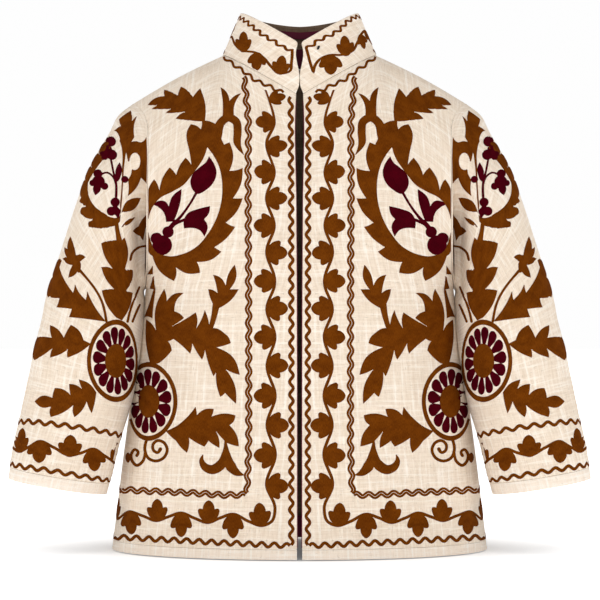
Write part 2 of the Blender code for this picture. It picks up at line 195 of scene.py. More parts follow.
def square_to(way):
    """Directions on the flat, turned a quarter to the left."""
    return np.stack([-way[:, 1], way[:, 0]], axis=1)


def add_object(name, data):
    obj = bpy.data.objects.new(name, data)
    bpy.context.scene.collection.objects.link(obj)
    return obj


def armhole(phi, facing):
    share = (1 + np.cos(phi)) / 2
    x = (
        ARMHOLE_X
        + (SHOULDER_TIP[0] - ARMHOLE_X) * share**TIP_SHARPNESS
        + (ARMPIT_X - ARMHOLE_X) * (1 - share) ** PIT_SHARPNESS
    )
    depth = np.where(facing < 0, ARMHOLE_FRONT, ARMHOLE_BACK)
    middle = (SHOULDER_TIP[1] + ARMPIT_Z) / 2
    half = (SHOULDER_TIP[1] - ARMPIT_Z) / 2
    return xyz(x, facing * depth * np.sin(phi), middle + half * np.cos(phi))


def neck_curve(size, psi):
    in_front = np.cos(psi) >= 0
    across = np.clip(np.sin(psi), 0, 1)
    depth = np.where(in_front, size["front"], size["back"])
    end = np.where(in_front, size["z_front"], size["z_back"])
    rise = np.where(in_front, across, across**1.5)
    return xyz(size["half_width"] * across, -depth * np.cos(psi), end + (size["z_side"] - end) * rise)


def skirt(s, z, facing):
    girth = smooth_table(GIRTH, z)
    half_width = girth[..., 0]
    depth = girth[..., 1] if facing < 0 else girth[..., 2]
    inner = smooth_table(FRONT_GAP, z)[..., 0] if facing < 0 else 0.0
    start = np.arcsin(inner / half_width)
    end = np.arccos(SEAM_GAP / 2 / depth)
    angle = start + (end - start) * s
    return xyz(half_width * np.sin(angle), facing * depth * np.cos(angle), z)


def top_edge(s, facing):
    inner = smooth_table(FRONT_GAP, NECK["z_front"])[0] if facing < 0 else 0.0
    start = math.asin(inner / NECK["half_width"])
    psi = start + (math.pi / 2 - start) * np.minimum(s / NECK_SHARE, 1)
    if facing > 0:
        psi = math.pi - psi
    on_neck = neck_curve(NECK, psi)
    share = np.clip((s - NECK_SHARE) / (1 - NECK_SHARE), 0, 1)
    side = facing * SEAM_GAP / 2
    x = NECK["half_width"] + (SHOULDER_TIP[0] - NECK["half_width"]) * share
    z = NECK["z_side"] + (SHOULDER_TIP[1] - NECK["z_side"]) * share
    on_shoulder = xyz(x, side, z + SHOULDER_BOW * np.sin(math.pi * share))
    return np.where((s < NECK_SHARE)[..., None], on_neck, on_shoulder)


def softened_top(s, t, facing):
    reach = np.minimum(CORNER_REACH * (1 - t**3), 1 - s)
    found = 0
    for k in range(-4, 5):
        at = s + reach * k / 4
        near = top_edge(np.abs(at), facing)
        near[..., 0] = np.where(at < 0, -near[..., 0], near[..., 0])
        found = found + near
    return found / 9


def yoke(s, t, facing):
    s, t = np.broadcast_arrays(s, t)
    shape = s.shape
    level = np.full(shape, ARMPIT_Z)
    step = 0.01
    below = skirt(s, level, facing)
    leaving = (below - skirt(s, level - step, facing)) * YOKE_HEIGHT / step
    over = smoothstep(0.0, NECK_SHARE, s)[..., None]
    to_neck = np.array([0.0, -facing * 0.05, 0.16])
    to_ridge = np.array([0.0, -facing * 0.20, 0.05])
    arriving = to_neck * (1 - over) + to_ridge * over
    share = t[..., None]
    found = hermite(below, softened_top(s, t, facing), leaving, arriving, share)
    side = np.ones(shape)
    side_rise = (skirt(side, level, facing) - skirt(side, level - step, facing)) * YOKE_HEIGHT / step
    edge = hermite(skirt(side, level, facing), top_edge(side, facing), side_rise, to_ridge, share)
    seam = armhole(math.pi * (1 - t), facing)
    ends = ((t <= 0) | (t >= 1))[..., None]
    found = found + np.where(ends, 0, seam - edge) * s[..., None] ** 2.2
    if facing < 0:
        zero = np.zeros(shape)
        up = np.array([0, 0.01, YOKE_HEIGHT])
        centre = hermite(skirt(zero, level, facing), softened_top(zero, t, facing), up, to_neck, share)
        gap = smooth_table(FRONT_GAP, centre[..., 2])[..., 0]
        found[..., 0] += (gap - centre[..., 0]) * (1 - s) ** 6
    return found


def body_rows(facing):
    s = np.linspace(0, 1, COLUMNS + 1)[None, :]
    z = np.linspace(HEM_Z + HEM_BAND, ARMPIT_Z, SKIRT_ROWS + 1)[:, None]
    low = skirt(*np.broadcast_arrays(s, z), facing)
    t = (np.arange(1, YOKE_ROWS + 1) / YOKE_ROWS)[:, None]
    return np.concatenate([low, yoke(s, t, facing)])


def normals_of(grid, closed=False):
    along = np.gradient(grid, axis=0)
    if closed:
        across = (np.roll(grid, -1, axis=1) - np.roll(grid, 1, axis=1)) / 2
    else:
        across = np.gradient(grid, axis=1)
    return unit(np.cross(across, along))


def body_inward(outer, facing):
    inward = -normals_of(outer) * (1 if facing < 0 else -1)
    inward[: SKIRT_ROWS + 1, -1, 1] = 0
    inward[SKIRT_ROWS + 1 :, -1, 0] = 0
    inward[-1, COLUMNS // 2 :, 1] = 0
    inward[-1, -1] = (0, 0, -1)
    inward[0, :, 2] = 0
    inward[:, 0, 0] = 0
    return unit(inward)


def level_inward(grid, facing):
    across = np.gradient(grid, axis=1)
    flat = unit(np.stack([across[..., 1], -across[..., 0], np.zeros(across.shape[:2])], axis=-1))
    flat = flat * (-1 if facing < 0 else 1)
    flat[:, -1, 1] = 0
    flat[:, 0, 0] = 0
    return unit(flat)


def fold_depth(fold, degrees, reach_out):
    off = np.abs((degrees - fold["middle"] + 180) % 360 - 180) / fold["reach"]
    round_share = np.cos(np.minimum(off, 1) * math.pi / 2) ** 2
    out_share = smoothstep(0, FOLD_START, reach_out)
    out_share = out_share * (1 - smoothstep(0.4 * fold["width"], fold["width"], reach_out))
    return fold["depth"] * round_share * out_share


def fold_weight(degrees):
    past = 2 * FOLD_START
    dip = fold_depth(FRONT_FOLD, degrees, past) + fold_depth(BACK_FOLD, degrees, past)
    return np.minimum(1.0, dip / FRONT_FOLD["depth"])


def sleeve_rows(r, degrees):
    r, degrees = np.broadcast_arrays(r, degrees)
    numbered = [(k, *row) for k, row in enumerate(SLEEVE)]
    ring = smooth_table(numbered, r)
    outer_x, outer_z, inner_x, inner_z, forward, front, back = np.moveaxis(ring, -1, 0)
    phi = np.radians(degrees)
    share = (1 + np.cos(phi)) / 2
    facing = np.where(np.sin(phi) >= 0, -1, 1)
    depth = np.where(facing < 0, front, back)
    x = inner_x + (outer_x - inner_x) * share
    z = inner_z + (outer_z - inner_z) * share
    seam = armhole(np.radians(np.abs((degrees + 180) % 360 - 180)), facing)
    straight = ARMPIT_X + (SHOULDER_TIP[0] - ARMPIT_X) * share
    x = x + (seam[..., 0] - straight) * (1 - smoothstep(0, 3.5, r))
    y = -forward - depth * np.sin(phi)
    reach_out = np.hypot(x - seam[..., 0], z - seam[..., 2])
    y = y + fold_depth(FRONT_FOLD, degrees, reach_out) - fold_depth(BACK_FOLD, degrees, reach_out)
    near_seam = 1 - smoothstep(0, SEAM_REACH, reach_out)
    clear = SEAM_GAP + near_seam * (CLOTH * fold_weight(degrees) + 0.0002 * (1 - share) ** 10)
    return xyz(x + clear, y, z)


def collar_rows(share, turn):
    """The collar's outer face: share is 0 at the neck seam, and turn goes from -1 round the back to 1."""
    share, turn = np.broadcast_arrays(share, turn)
    gap = smooth_table(COLLAR_GAP, share)[..., 0]
    height = NECK["z_front"] + (COLLAR_TOP["z_front"] - NECK["z_front"]) * share
    below_top = np.clip(COLLAR_TOP["z_front"] - height, 0, COLLAR_CORNER)
    gap = gap + COLLAR_CORNER - np.sqrt(COLLAR_CORNER**2 - (COLLAR_CORNER - below_top) ** 2)
    half_width = NECK["half_width"] + (COLLAR_TOP["half_width"] - NECK["half_width"]) * share
    start = np.arcsin(gap / half_width)
    part = np.abs(turn)
    behind = math.pi - part * math.pi
    ahead = math.pi / 2 - (part - 0.5) * 2 * (math.pi / 2 - start)
    psi = np.where(part <= 0.5, behind, ahead)
    low = neck_curve(NECK, psi) + np.array([0, 0, SEAM_GAP])
    found = low + (neck_curve(COLLAR_TOP, psi) - low) * share[..., None]
    found[..., 0] *= np.where(turn > 0, 1, -1)
    return found


def round_neck_inward(grid):
    across = np.gradient(grid, axis=1)
    flat = unit(np.stack([-across[..., 1], across[..., 0], np.zeros(across.shape[:2])], axis=-1))
    centre = np.sum(flat * grid * np.array([1, 1, 0]), axis=-1, keepdims=True)
    return np.where(centre > 0, -flat, flat)


# Soft creases, in mm, on the front (-1) or the back (1). A depth below 0 is a trough.
CREASES = (
    # facing, x0, z0, x1, z1, half width, depth
    (-1, 40, -78, 62, -48, 5, -0.9),
    (-1, 47, -84, 66, -56, 4, 0.6),
    (-1, 182, -255, 120, -205, 13, -1.8),
    (-1, 186, -225, 138, -172, 10, 1.2),
    (-1, 172, -318, 122, -390, 14, 1.5),
    (-1, 186, -330, 150, -430, 11, -1.4),
    (-1, 60, -420, 84, -560, 22, 1.3),
    (-1, 112, -440, 138, -600, 20, -1.5),
    (-1, 30, -250, 36, -420, 18, -0.8),
    (1, 184, -262, 96, -205, 14, -2.2),
    (1, 186, -228, 110, -165, 11, 1.7),
    (1, 176, -300, 112, -372, 15, 1.7),
    (1, 44, -24, 78, -96, 12, -1.3),
    (1, 0, -60, 0, -160, 16, -1.0),
    (1, 52, -380, 66, -590, 24, 2.0),
    (1, 100, -400, 128, -600, 22, -2.0),
    (1, 8, -360, 4, -580, 26, -1.6),
)


def ridge(at, start, end, width, depth):
    """How far one crease raises these places, in metres. All that it is given is in mm."""
    start, end = np.array(start, float), np.array(end, float)
    way = end - start
    along = np.sum((at - start) * way, axis=-1) / np.sum(way * way)
    off = np.linalg.norm(at - start - np.clip(along, 0, 1)[..., None] * way, axis=-1)
    taper = np.clip(1 - np.abs(2 * along - 1) ** 3, 0, 1)
    return depth * MM * np.exp(-((off / width) ** 2)) * taper


def crease_lift(points, facing):
    """How far the creases raise these points of half a panel, in metres."""
    found = np.zeros(points.shape[:-1])
    at = points[..., (0, 2)] / MM
    for side, x0, z0, x1, z1, width, depth in CREASES:
        if side == facing:
            found += ridge(at, (x0, z0), (x1, z1), width, depth)
    return found


# Size and height of the cloth's unevenness, coarse and fine, in metres.
BODY_CRUMPLES = ((0.055, 0.0010), (0.021, 0.0003))
SLEEVE_CRUMPLES = ((0.05, 0.0010), (0.02, 0.0003))


def crumpled(lift, points, crumples):
    """A lift with a little unevenness added, the same at the same place on either piece beside a seam."""
    for size, height in crumples:
        uneven = np.array([noise.noise(Vector(p) / size) for p in points.reshape(-1, 3)])
        lift = lift + uneven.reshape(points.shape[:-1]) * height
    return lift


def mirrored(grid):
    return grid * np.array([-1, 1, 1])


def whole_width(half):
    return np.concatenate([mirrored(half)[:, :0:-1], half], axis=1)


def grid_lengths(grid):
    """Distance along each row and up each column, in metres, for the weave's coordinates."""
    u = distance_along(grid, 1)
    v = distance_along(grid).mean(axis=1, keepdims=True)
    return u - u[:, -1:] / 2, np.repeat(v, grid.shape[1], axis=1)


WEAVE_UNITS = 10
EDGE_ANGLE = math.radians(55)
CLOTH_EDGE = 0.0005
LINING_EDGE = 0.0003


def soften(obj, width):
    """Rounds the cut edges of a piece of cloth."""
    edge = obj.modifiers.new("soft_edge", "BEVEL")
    edge.limit_method = "ANGLE"
    edge.angle_limit = EDGE_ANGLE
    edge.width = width
    edge.segments = 2


def add_shell(name, outer, inner, material, *nodes, closed=False):
    """A closed wall between two grids, with its weave laid along the rows and columns."""
    rows, columns = outer.shape[:2]
    wrapped = np.concatenate([outer, outer[:, :1]], axis=1) if closed else outer
    u, v = grid_lengths(wrapped)
    mesh = bmesh.new()
    weave = mesh.loops.layers.uv.new("weave")
    layers = [
        [[mesh.verts.new(grid[i, j]) for j in range(columns)] for i in range(rows)]
        for grid in (outer, inner)
    ]
    last = columns if closed else columns - 1

    def face(corners, places, kind=0):
        made = mesh.faces.new(corners)
        made.material_index = kind
        for loop, (i, j) in zip(made.loops, places):
            loop[weave].uv = (u[i, j] * WEAVE_UNITS, v[i, j] * WEAVE_UNITS)

    # Outer faces take the first material, inner faces the second: the linen darkened with painted shade.
    for kind, layer in enumerate(layers):
        for i in range(rows - 1):
            for j in range(last):
                k = (j + 1) % columns
                face(
                    (layer[i][j], layer[i][k], layer[i + 1][k], layer[i + 1][j]),
                    ((i, j), (i, j + 1), (i + 1, j + 1), (i + 1, j)),
                    kind,
                )
    front, back = layers
    for i in (0, rows - 1):
        for j in range(last):
            k = (j + 1) % columns
            places = ((i, j), (i, j + 1), (i, j + 1), (i, j))
            face((front[i][j], front[i][k], back[i][k], back[i][j]), places)
    if not closed:
        for j in (0, columns - 1):
            for i in range(rows - 1):
                face(
                    (front[i][j], front[i + 1][j], back[i + 1][j], back[i][j]),
                    ((i, j), (i + 1, j), (i + 1, j), (i, j)),
                )
    bmesh.ops.recalc_face_normals(mesh, faces=mesh.faces[:])
    data = bpy.data.meshes.new(name)
    mesh.to_mesh(data)
    mesh.free()
    data.materials.append(material)
    data.materials.append(linen_inside_painted_shade)
    data.shade_smooth()
    obj = add_object(name, data)
    soften(obj, CLOTH_EDGE)
    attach(obj, "root")
    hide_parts(*nodes)
    return obj


def build_body():
    made = {}
    for facing in (-1, 1):
        outer = body_rows(facing)
        normal = -body_inward(outer, facing)
        s = np.linspace(0, 1, outer.shape[1])[None, :]
        row = np.linspace(0, 1, outer.shape[0])[:, None]
        fade = smoothstep(0, 0.08, 1 - s) * smoothstep(0, 0.03, row) * smoothstep(0, 0.07, 1 - row)
        if facing < 0:
            fade = fade * smoothstep(0, 0.05, s)
        lift = crumpled(crease_lift(outer, facing), outer, BODY_CRUMPLES)
        outer = outer + normal * (lift * fade)[..., None]
        inner = outer + body_inward(outer, facing) * CLOTH
        made[facing] = (outer, inner)
    outer, inner = made[-1]
    shells = [
        add_shell("cloth_front_left", outer, inner, linen, "front_left"),
        add_shell("cloth_front_right", mirrored(outer), mirrored(inner), linen, "front_right"),
    ]
    back_outer, back_inner = (whole_width(grid) for grid in made[1])
    shells.append(add_shell("cloth_back", back_outer, back_inner, linen, "back"))
    return made, shells


def build_hem_bands():
    s = np.linspace(0, 1, COLUMNS + 1)[None, :]
    z = np.array([HEM_Z, HEM_Z + 0.004, HEM_Z + 0.011, HEM_Z + HEM_BAND - SEAM_GAP])[:, None]
    grids = {}
    for facing in (-1, 1):
        outer = skirt(*np.broadcast_arrays(s, z), facing)
        grids[facing] = (outer, outer + level_inward(outer, facing) * BAND_CLOTH)
    outer, inner = grids[-1]
    made = [
        add_shell("cloth_hem_band_left", outer, inner, band_linen, "hem_band_left"),
        add_shell("cloth_hem_band_right", mirrored(outer), mirrored(inner), band_linen, "hem_band_right"),
    ]
    outer, inner = (whole_width(grid) for grid in grids[1])
    made.append(add_shell("cloth_hem_band_back", outer, inner, band_linen, "hem_band_back"))
    return made


# Creases of the sleeve: where round it and how far down, in degrees and rings, then in mm as above.
MM_PER_DEGREE = 1.05
MM_PER_RING = 40.0
SLEEVE_CREASES = (
    # degrees, ring, degrees on, rings on, half width, depth
    (60, 5.5, 150, 7.5, 9, -1.4),
    (40, 8.5, 130, 9.4, 8, -1.1),
    (-50, 5.0, -150, 7.0, 10, -1.8),
    (-30, 7.5, -120, 8.6, 9, 1.4),
    (-60, 9.0, -170, 8.0, 10, -1.6),
    (10, 6.8, 75, 8.4, 9, 1.0),
)


def sleeve_lift(r, degrees):
    found = np.zeros(np.broadcast(r, degrees).shape)
    turned = (degrees + 180) % 360 - 180
    at = np.stack(np.broadcast_arrays(turned * MM_PER_DEGREE, r * MM_PER_RING), axis=-1)
    for a0, r0, a1, r1, width, depth in SLEEVE_CREASES:
        start = (a0 * MM_PER_DEGREE, r0 * MM_PER_RING)
        end = (a1 * MM_PER_DEGREE, r1 * MM_PER_RING)
        found += ridge(at, start, end, width, depth)
    return found


def build_sleeves():
    upper = 5 * np.linspace(0, 1, 61) ** 1.7
    lower = np.linspace(5, LAST_RING, 60)[1:]
    r = np.concatenate([upper, lower])[:, None]
    degrees = (np.arange(SLEEVE_TURNS) * 360 / SLEEVE_TURNS)[None, :]
    outer = sleeve_rows(r, degrees)
    normal = normals_of(outer, closed=True)
    fade = smoothstep(1.5, 3.5, r) * smoothstep(0, 0.8, LAST_RING - r)
    lift = crumpled(sleeve_lift(r, degrees), outer, SLEEVE_CRUMPLES)
    outer = outer + normal * (lift * fade)[..., None]
    inner_share = ((1 - np.cos(np.radians(degrees))) / 2) ** 2
    down = -outer[..., 2]
    beside_body = smoothstep(0.300, 0.316, down) * (1 - smoothstep(0.430, 0.500, down))
    outer[..., 0] -= CLOSE_TO_BODY * inner_share * beside_body
    inward = -normals_of(outer, closed=True)
    weight = fold_weight(degrees[0])[:, None]
    in_plane = (outer[0].mean(axis=0) - outer[0]) * np.array([0, 1, 1])
    at_seam = unit(in_plane) * np.sqrt(1 - weight**2) + np.array([-1.0, 0, 0]) * weight
    reach = np.linalg.norm((outer - outer[0]) * np.array([1, 0, 1]), axis=2, keepdims=True)
    free = smoothstep(0, SEAM_REACH, reach)
    inward = unit(at_seam * (1 - free) + inward * free)
    inner = outer + inward * CLOTH
    middle = outer[-1].mean(axis=0)
    axis = unit(middle - outer[-8].mean(axis=0))
    tail = unit(outer[-1] - outer[-4])
    steps = np.array([CUFF_BAND - SEAM_GAP, 0.010, 0.005, 0.0])
    band = outer[-1] - tail * steps[:, None, None]
    spoke = middle - outer[-1]
    spoke = unit(spoke - (spoke @ axis)[:, None] * axis)
    cut = outer[-1] - tail * CUFF_BAND
    kept = (outer - cut) @ axis < -0.003
    rows = [i for i in range(len(outer)) if kept[i].all()]
    outer = np.concatenate([outer[rows], cut[None]])
    inner = np.concatenate([inner[rows], (cut + spoke * CLOTH)[None]])
    band_inner = band + spoke * BAND_CLOTH
    made = []
    for side, turn in (("left", lambda grid: grid), ("right", mirrored)):
        for piece, node, wall, material in (
            ("cloth_sleeve_", "sleeve_", (outer, inner), linen),
            ("cloth_cuff_", "cuff_band_", (band, band_inner), band_linen),
        ):
            made.append(add_shell(piece + side, *map(turn, wall), material, node + side, closed=True))
    return outer, made


# Rows up the collar as shares of its height, closer together at its rounded upper corners.
COLLAR_ROWS = (
    0, 0.05, 0.1, 0.15, 0.2, 0.26, 0.33, 0.4, 0.46, 0.52, 0.58, 0.65, 0.72, 0.79, 0.86,
    0.91, 0.94, 0.96, 0.975, 0.9875, 1.0,
)


def build_collar():
    turn = np.linspace(-1, 1, COLLAR_TURNS + 1)[None, :]
    outer = collar_rows(np.array(COLLAR_ROWS)[:, None], turn)
    inward = round_neck_inward(outer)
    inward[:, (0, -1), 0] = 0
    inner = outer + unit(inward) * COLLAR_CLOTH
    return outer, [add_shell("cloth_collar", outer, inner, linen, "collar")]


# Materials


class Nodes:
    """Short ways of adding shader nodes."""

    def __init__(self, name):
        self.material = bpy.data.materials.new(name)
        self.material.use_nodes = True
        self.tree = self.material.node_tree
        self.shader = self.tree.nodes["Principled BSDF"]

    def add(self, kind, **settings):
        node = self.tree.nodes.new(kind)
        for key, value in settings.items():
            if key in node.inputs.keys():
                self.join(value, node.inputs[key])
            else:
                setattr(node, key, value)
        return node

    def join(self, value, socket):
        if isinstance(value, bpy.types.NodeSocket):
            self.tree.links.new(value, socket)
        else:
            socket.default_value = value

    def math(self, operation, first, second=0.0, third=0.0):
        node = self.tree.nodes.new("ShaderNodeMath")
        node.operation = operation
        for socket, value in zip(node.inputs, (first, second, third)):
            self.join(value, socket)
        return node.outputs[0]

    def blend(self, share, first, second, mode="MIX"):
        node = self.tree.nodes.new("ShaderNodeMix")
        node.data_type = "RGBA"
        node.blend_type = mode
        self.join(share, node.inputs[0])
        self.join(first, node.inputs[6])
        self.join(second, node.inputs[7])
        return node.outputs[2]

    def ramp(self, value, *stops):
        node = self.tree.nodes.new("ShaderNodeValToRGB")
        elements = node.color_ramp.elements
        while len(elements) < len(stops):
            elements.new(0.5)
        for element, (at, level) in zip(elements, stops):
            element.position = at
            element.color = (level, level, level, 1)
        self.join(value, node.inputs[0])
        return node.outputs[0]

    def tint(self, share, value, *stops, colour, over):
        """The colour, with as much of another over it as the ramp of a value says."""
        return self.blend(self.math("MULTIPLY", self.ramp(value, *stops), share), colour, over)

    def bump(self, height, strength, distance):
        node = self.add("ShaderNodeBump")
        node.inputs["Strength"].default_value = strength
        node.inputs["Distance"].default_value = distance
        self.join(height, node.inputs["Height"])
        self.join(node.outputs[0], self.shader.inputs["Normal"])

    def finish(self, colour, **values):
        """Joins the colour and sets the shader's numbers. A socket's name has _ for each space."""
        self.join(colour, self.shader.inputs["Base Color"])
        for key, value in values.items():
            self.shader.inputs[key.replace("_", " ")].default_value = value

    def stretched_noise(self, coordinates, scale, detail=2.0, roughness=0.5):
        mapping = self.add("ShaderNodeMapping")
        self.join(coordinates, mapping.inputs["Vector"])
        mapping.inputs["Scale"].default_value = scale
        node = self.tree.nodes.new("ShaderNodeTexNoise")
        node.inputs["Scale"].default_value = 1.0
        node.inputs["Detail"].default_value = detail
        node.inputs["Roughness"].default_value = roughness
        self.tree.links.new(mapping.outputs[0], node.inputs["Vector"])
        return node.outputs["Fac"]


def srgb(red, green, blue):
    def linear(value):
        value /= 255
        return value / 12.92 if value <= 0.04045 else ((value + 0.055) / 1.055) ** 2.4

    return (linear(red), linear(green), linear(blue), 1.0)


SLUB_STREAKS = (
    # scale along and across the weave, share of shade, share of pale
    ((24, 1.7, 1), 0.50, 0.75),
    ((1.6, 27, 1), 0.40, 0.60),
)
THREADS_SCALE = 42


def linen_material(name, light, shade, grey, pale):
    """Slubby plain weave. The weave's coordinates are tenths of a metre along and up the cloth."""
    n = Nodes(name)
    uv = n.add("ShaderNodeUVMap", uv_map="weave").outputs[0]
    warp = n.stretched_noise(uv, (62, 5.0, 1), 3.0, 0.6)
    weft = n.stretched_noise(uv, (4.5, 66, 1), 3.0, 0.6)
    slub = n.math("ADD", n.ramp(warp, (0.42, 0.0), (0.66, 1.0)), n.ramp(weft, (0.42, 0.0), (0.68, 1.0)))
    patches = n.stretched_noise(uv, (3.2, 3.2, 1))
    colour = n.blend(n.math("MULTIPLY", slub, 0.40), light, shade)
    for scale, dark_share, pale_share in SLUB_STREAKS:
        streaks = n.stretched_noise(uv, scale, 2.0, 0.55)
        colour = n.tint(dark_share, streaks, (0.30, 1.0), (0.47, 0.0), colour=colour, over=shade)
        colour = n.tint(pale_share, streaks, (0.53, 0.0), (0.68, 1.0), colour=colour, over=pale)
    specks = n.ramp(n.stretched_noise(uv, (85, 14, 1), 1.0), (0.64, 0.0), (0.76, 1.0))
    specks_across = n.ramp(n.stretched_noise(uv, (13, 90, 1), 1.0), (0.65, 0.0), (0.77, 1.0))
    colour = n.blend(n.math("MULTIPLY", n.math("ADD", specks, specks_across), 0.50), colour, grey)
    colour = n.tint(0.14, patches, (0.4, 0.0), (0.65, 1.0), colour=colour, over=shade)
    n.finish(colour, Roughness=0.92, Sheen_Weight=0.12, Sheen_Roughness=0.5, Specular_IOR_Level=0.2)
    threads = []
    for direction in ("X", "Y"):
        wave = n.add("ShaderNodeTexWave", wave_type="BANDS", bands_direction=direction)
        n.join(uv, wave.inputs["Vector"])
        wave.inputs["Scale"].default_value = THREADS_SCALE
        wave.inputs["Distortion"].default_value = 1.2
        wave.inputs["Detail"].default_value = 1.0
        wave.inputs["Detail Scale"].default_value = 2.0
        threads.append(wave.outputs["Fac"])
    n.bump(n.math("ADD", n.math("MULTIPLY", n.math("ADD", *threads), 0.35), slub), 0.5, 0.0004)
    return n.material


def thread_material(name, light, dark):
    """Close-laid embroidery thread: short fine stitches, a little uneven in colour."""
    n = Nodes(name)
    cloth = n.add("ShaderNodeUVMap", uv_map="canvas").outputs[0]
    stitches = n.stretched_noise(cloth, (1.5, 0.3, 1), 2.0, 0.6)
    patches = n.stretched_noise(cloth, (0.07, 0.09, 1))
    share = n.math("ADD", n.math("MULTIPLY", stitches, 0.6), n.math("MULTIPLY", patches, 0.4))
    colour = n.blend(n.ramp(share, (0.36, 0.0), (0.64, 1.0)), dark, light)
    n.finish(colour, Roughness=0.85, Specular_IOR_Level=0.02)
    n.bump(stitches, 0.5, 0.00025)
    return n.material


def lining_material(name, colour, dark):
    n = Nodes(name)
    place = n.add("ShaderNodeTexCoord").outputs["Object"]
    weave = n.stretched_noise(place, (900, 900, 900), 1.0)
    patches = n.stretched_noise(place, (40, 40, 40))
    share = n.math("ADD", n.math("MULTIPLY", weave, 0.5), n.math("MULTIPLY", patches, 0.5))
    n.finish(n.blend(share, dark, colour), Roughness=0.85, Sheen_Weight=0.15, Specular_IOR_Level=0.25)
    n.bump(weave, 0.3, 0.0002)
    return n.material


def stud_material():
    n = Nodes("stud_black")
    place = n.add("ShaderNodeTexCoord").outputs["Object"]
    wear = n.stretched_noise(place, (700, 700, 700), 2.0, 0.6)
    n.finish(n.blend(wear, srgb(22, 16, 16), srgb(46, 36, 34)), Metallic=0.8)
    n.join(n.ramp(wear, (0.3, 0.28), (0.7, 0.45)), n.shader.inputs["Roughness"])
    return n.material


# Embroidery: each panel is laid flat as a canvas, in mm, and the motifs are drawn and filled on it.

CAMERA_Y = -3.0
CAMERA_Z = -0.3146
PIXEL = 0.0013
CENTRE_PX = 299.6
PICTURE_PX = 600
THREAD = 0.55
SUNK = 0.08
CLEAR_OF_EDGE = 1.9
EDGE = 0.8
STEM_WIDE = 4.1

# A cord's cross-section: how far across it, as a share of its width, and how high, in mm.
ROUND_LANES = ((-0.5, -0.08), (-0.36, 0.32), (0.0, 0.45), (0.36, 0.32), (0.5, -0.08))
GROOVED_LANES = (
    (-0.5, -0.08), (-0.4, 0.32), (-0.24, 0.42), (0, 0.12), (0.24, 0.42), (0.4, 0.32), (0.5, -0.08),
)
FINE_STRANDS = dict(width=4.5, offsets=(0.0,), groove=True)
WIDE_STRANDS = dict(width=3.2, offsets=(-1.75, 1.75), groove=False)
COLLAR_STRANDS = dict(width=3.5, offsets=(0.0,), groove=True)


class Canvas:
    """A panel's outer face laid flat: u runs to the viewer's right and v upwards, both in mm."""

    def __init__(self, grid, u, v, normals, from_y=CAMERA_Y, closed=False):
        self.grid, self.u, self.v, self.normals = grid, u, v, normals
        self.from_y = from_y
        self.round_once = u.max() - u.min() if closed else math.inf
        rows, columns = grid.shape[:2]
        self.columns = columns
        faces = []
        for i in range(rows - 1):
            for j in range(columns - 1):
                a = i * columns + j
                faces += [(a, a + 1, a + columns + 1), (a, a + columns + 1, a + columns)]
        self.faces = faces
        self.tree = BVHTree.FromPolygons([Vector(p) for p in grid.reshape(-1, 3)], faces)
        middle = len(faces) // 2
        corners = [grid.reshape(-1, 3)[k] for k in faces[middle]]
        wound = np.cross(corners[1] - corners[0], corners[2] - corners[0])
        self.sign = 1 if np.dot(wound, normals.reshape(-1, 3)[faces[middle][0]]) > 0 else -1

    def seen(self, points):
        """The places on the canvas that these points of the picture, from its top left, show."""
        found = []
        for point in points:
            across = (point[0] - CENTRE_PX) * PIXEL
            height = CAMERA_Z + (PICTURE_PX / 2 - point[1]) * PIXEL
            start = Vector((0, self.from_y, CAMERA_Z))
            way = Vector((across, 0, height)) - start
            place, _, face, _ = self.tree.ray_cast(start, way.normalized())
            if place is None:
                near = start + way * 0.98
                place, _, face, _ = self.tree.find_nearest(near)
            found.append((*self.flat(place, face), *point[2:3]))
        return found

    def flat(self, place, face):
        corners = self.faces[face]
        points = [Vector(self.grid.reshape(-1, 3)[k]) for k in corners]
        flat = [Vector((self.u.reshape(-1)[k], self.v[k // self.columns], 0)) for k in corners]
        found = geometry.barycentric_transform(place, *points, *flat)
        return found.x, found.y

    def frame_at(self, at):
        """How a motif's own right and up, in mm, lie on the flat canvas at a place."""
        reach = 2.0
        spots = np.array(at) + reach * np.array([(0, 0), (1, 0), (-1, 0), (0, 1), (0, -1)])
        places = self.raised(self.clamp(spots), np.zeros(5))
        normal = self.raised(spots[:1], np.array([MM]))[0] - places[0]
        normal = normal / np.linalg.norm(normal)
        along_u = (places[1] - places[2]) / (2 * reach * MM)
        along_v = (places[3] - places[4]) / (2 * reach * MM)
        up = np.array([0, 0, 1.0]) - normal[2] * normal
        up = up / np.linalg.norm(up)
        right = np.cross(up, normal) * (1 if self.from_y < 0 else -1)
        lay = np.stack([along_u, along_v], axis=1)
        return np.linalg.pinv(lay) @ np.stack([right, up], axis=1)

    def blended(self, v):
        row = np.interp(v, self.v, np.arange(len(self.v)))
        low = np.clip(row.astype(int), 0, len(self.v) - 2)
        share = (row - low)[:, None]
        return low, share, self.u[low] * (1 - share) + self.u[low + 1] * share

    def clamp(self, points, margin=0.9):
        points = np.array(points, float)
        v = np.clip(points[:, 1], self.v[0] + margin, self.v[-1] - margin)
        _, _, u_row = self.blended(v)
        u = np.clip(points[:, 0], u_row[:, 0] + margin, u_row[:, -1] - margin)
        return np.stack([u, v], axis=1)

    def raised(self, points, height):
        """Points in space for places on the canvas, each this far off the cloth."""
        low, share, u_row = self.blended(points[:, 1])
        u = points[:, 0]
        at = np.clip((u_row <= u[:, None]).sum(axis=1) - 1, 0, self.columns - 2)
        k = np.arange(len(u))
        span = u_row[k, at + 1] - u_row[k, at]
        on = np.clip((u - u_row[k, at]) / np.maximum(span, 1e-9), 0, 1)[:, None]

        def blend(values):
            below = values[low, at] * (1 - on) + values[low, at + 1] * on
            above = values[low + 1, at] * (1 - on) + values[low + 1, at + 1] * on
            return below * (1 - share) + above * share

        return blend(self.grid) + unit(blend(self.normals)) * height[:, None]


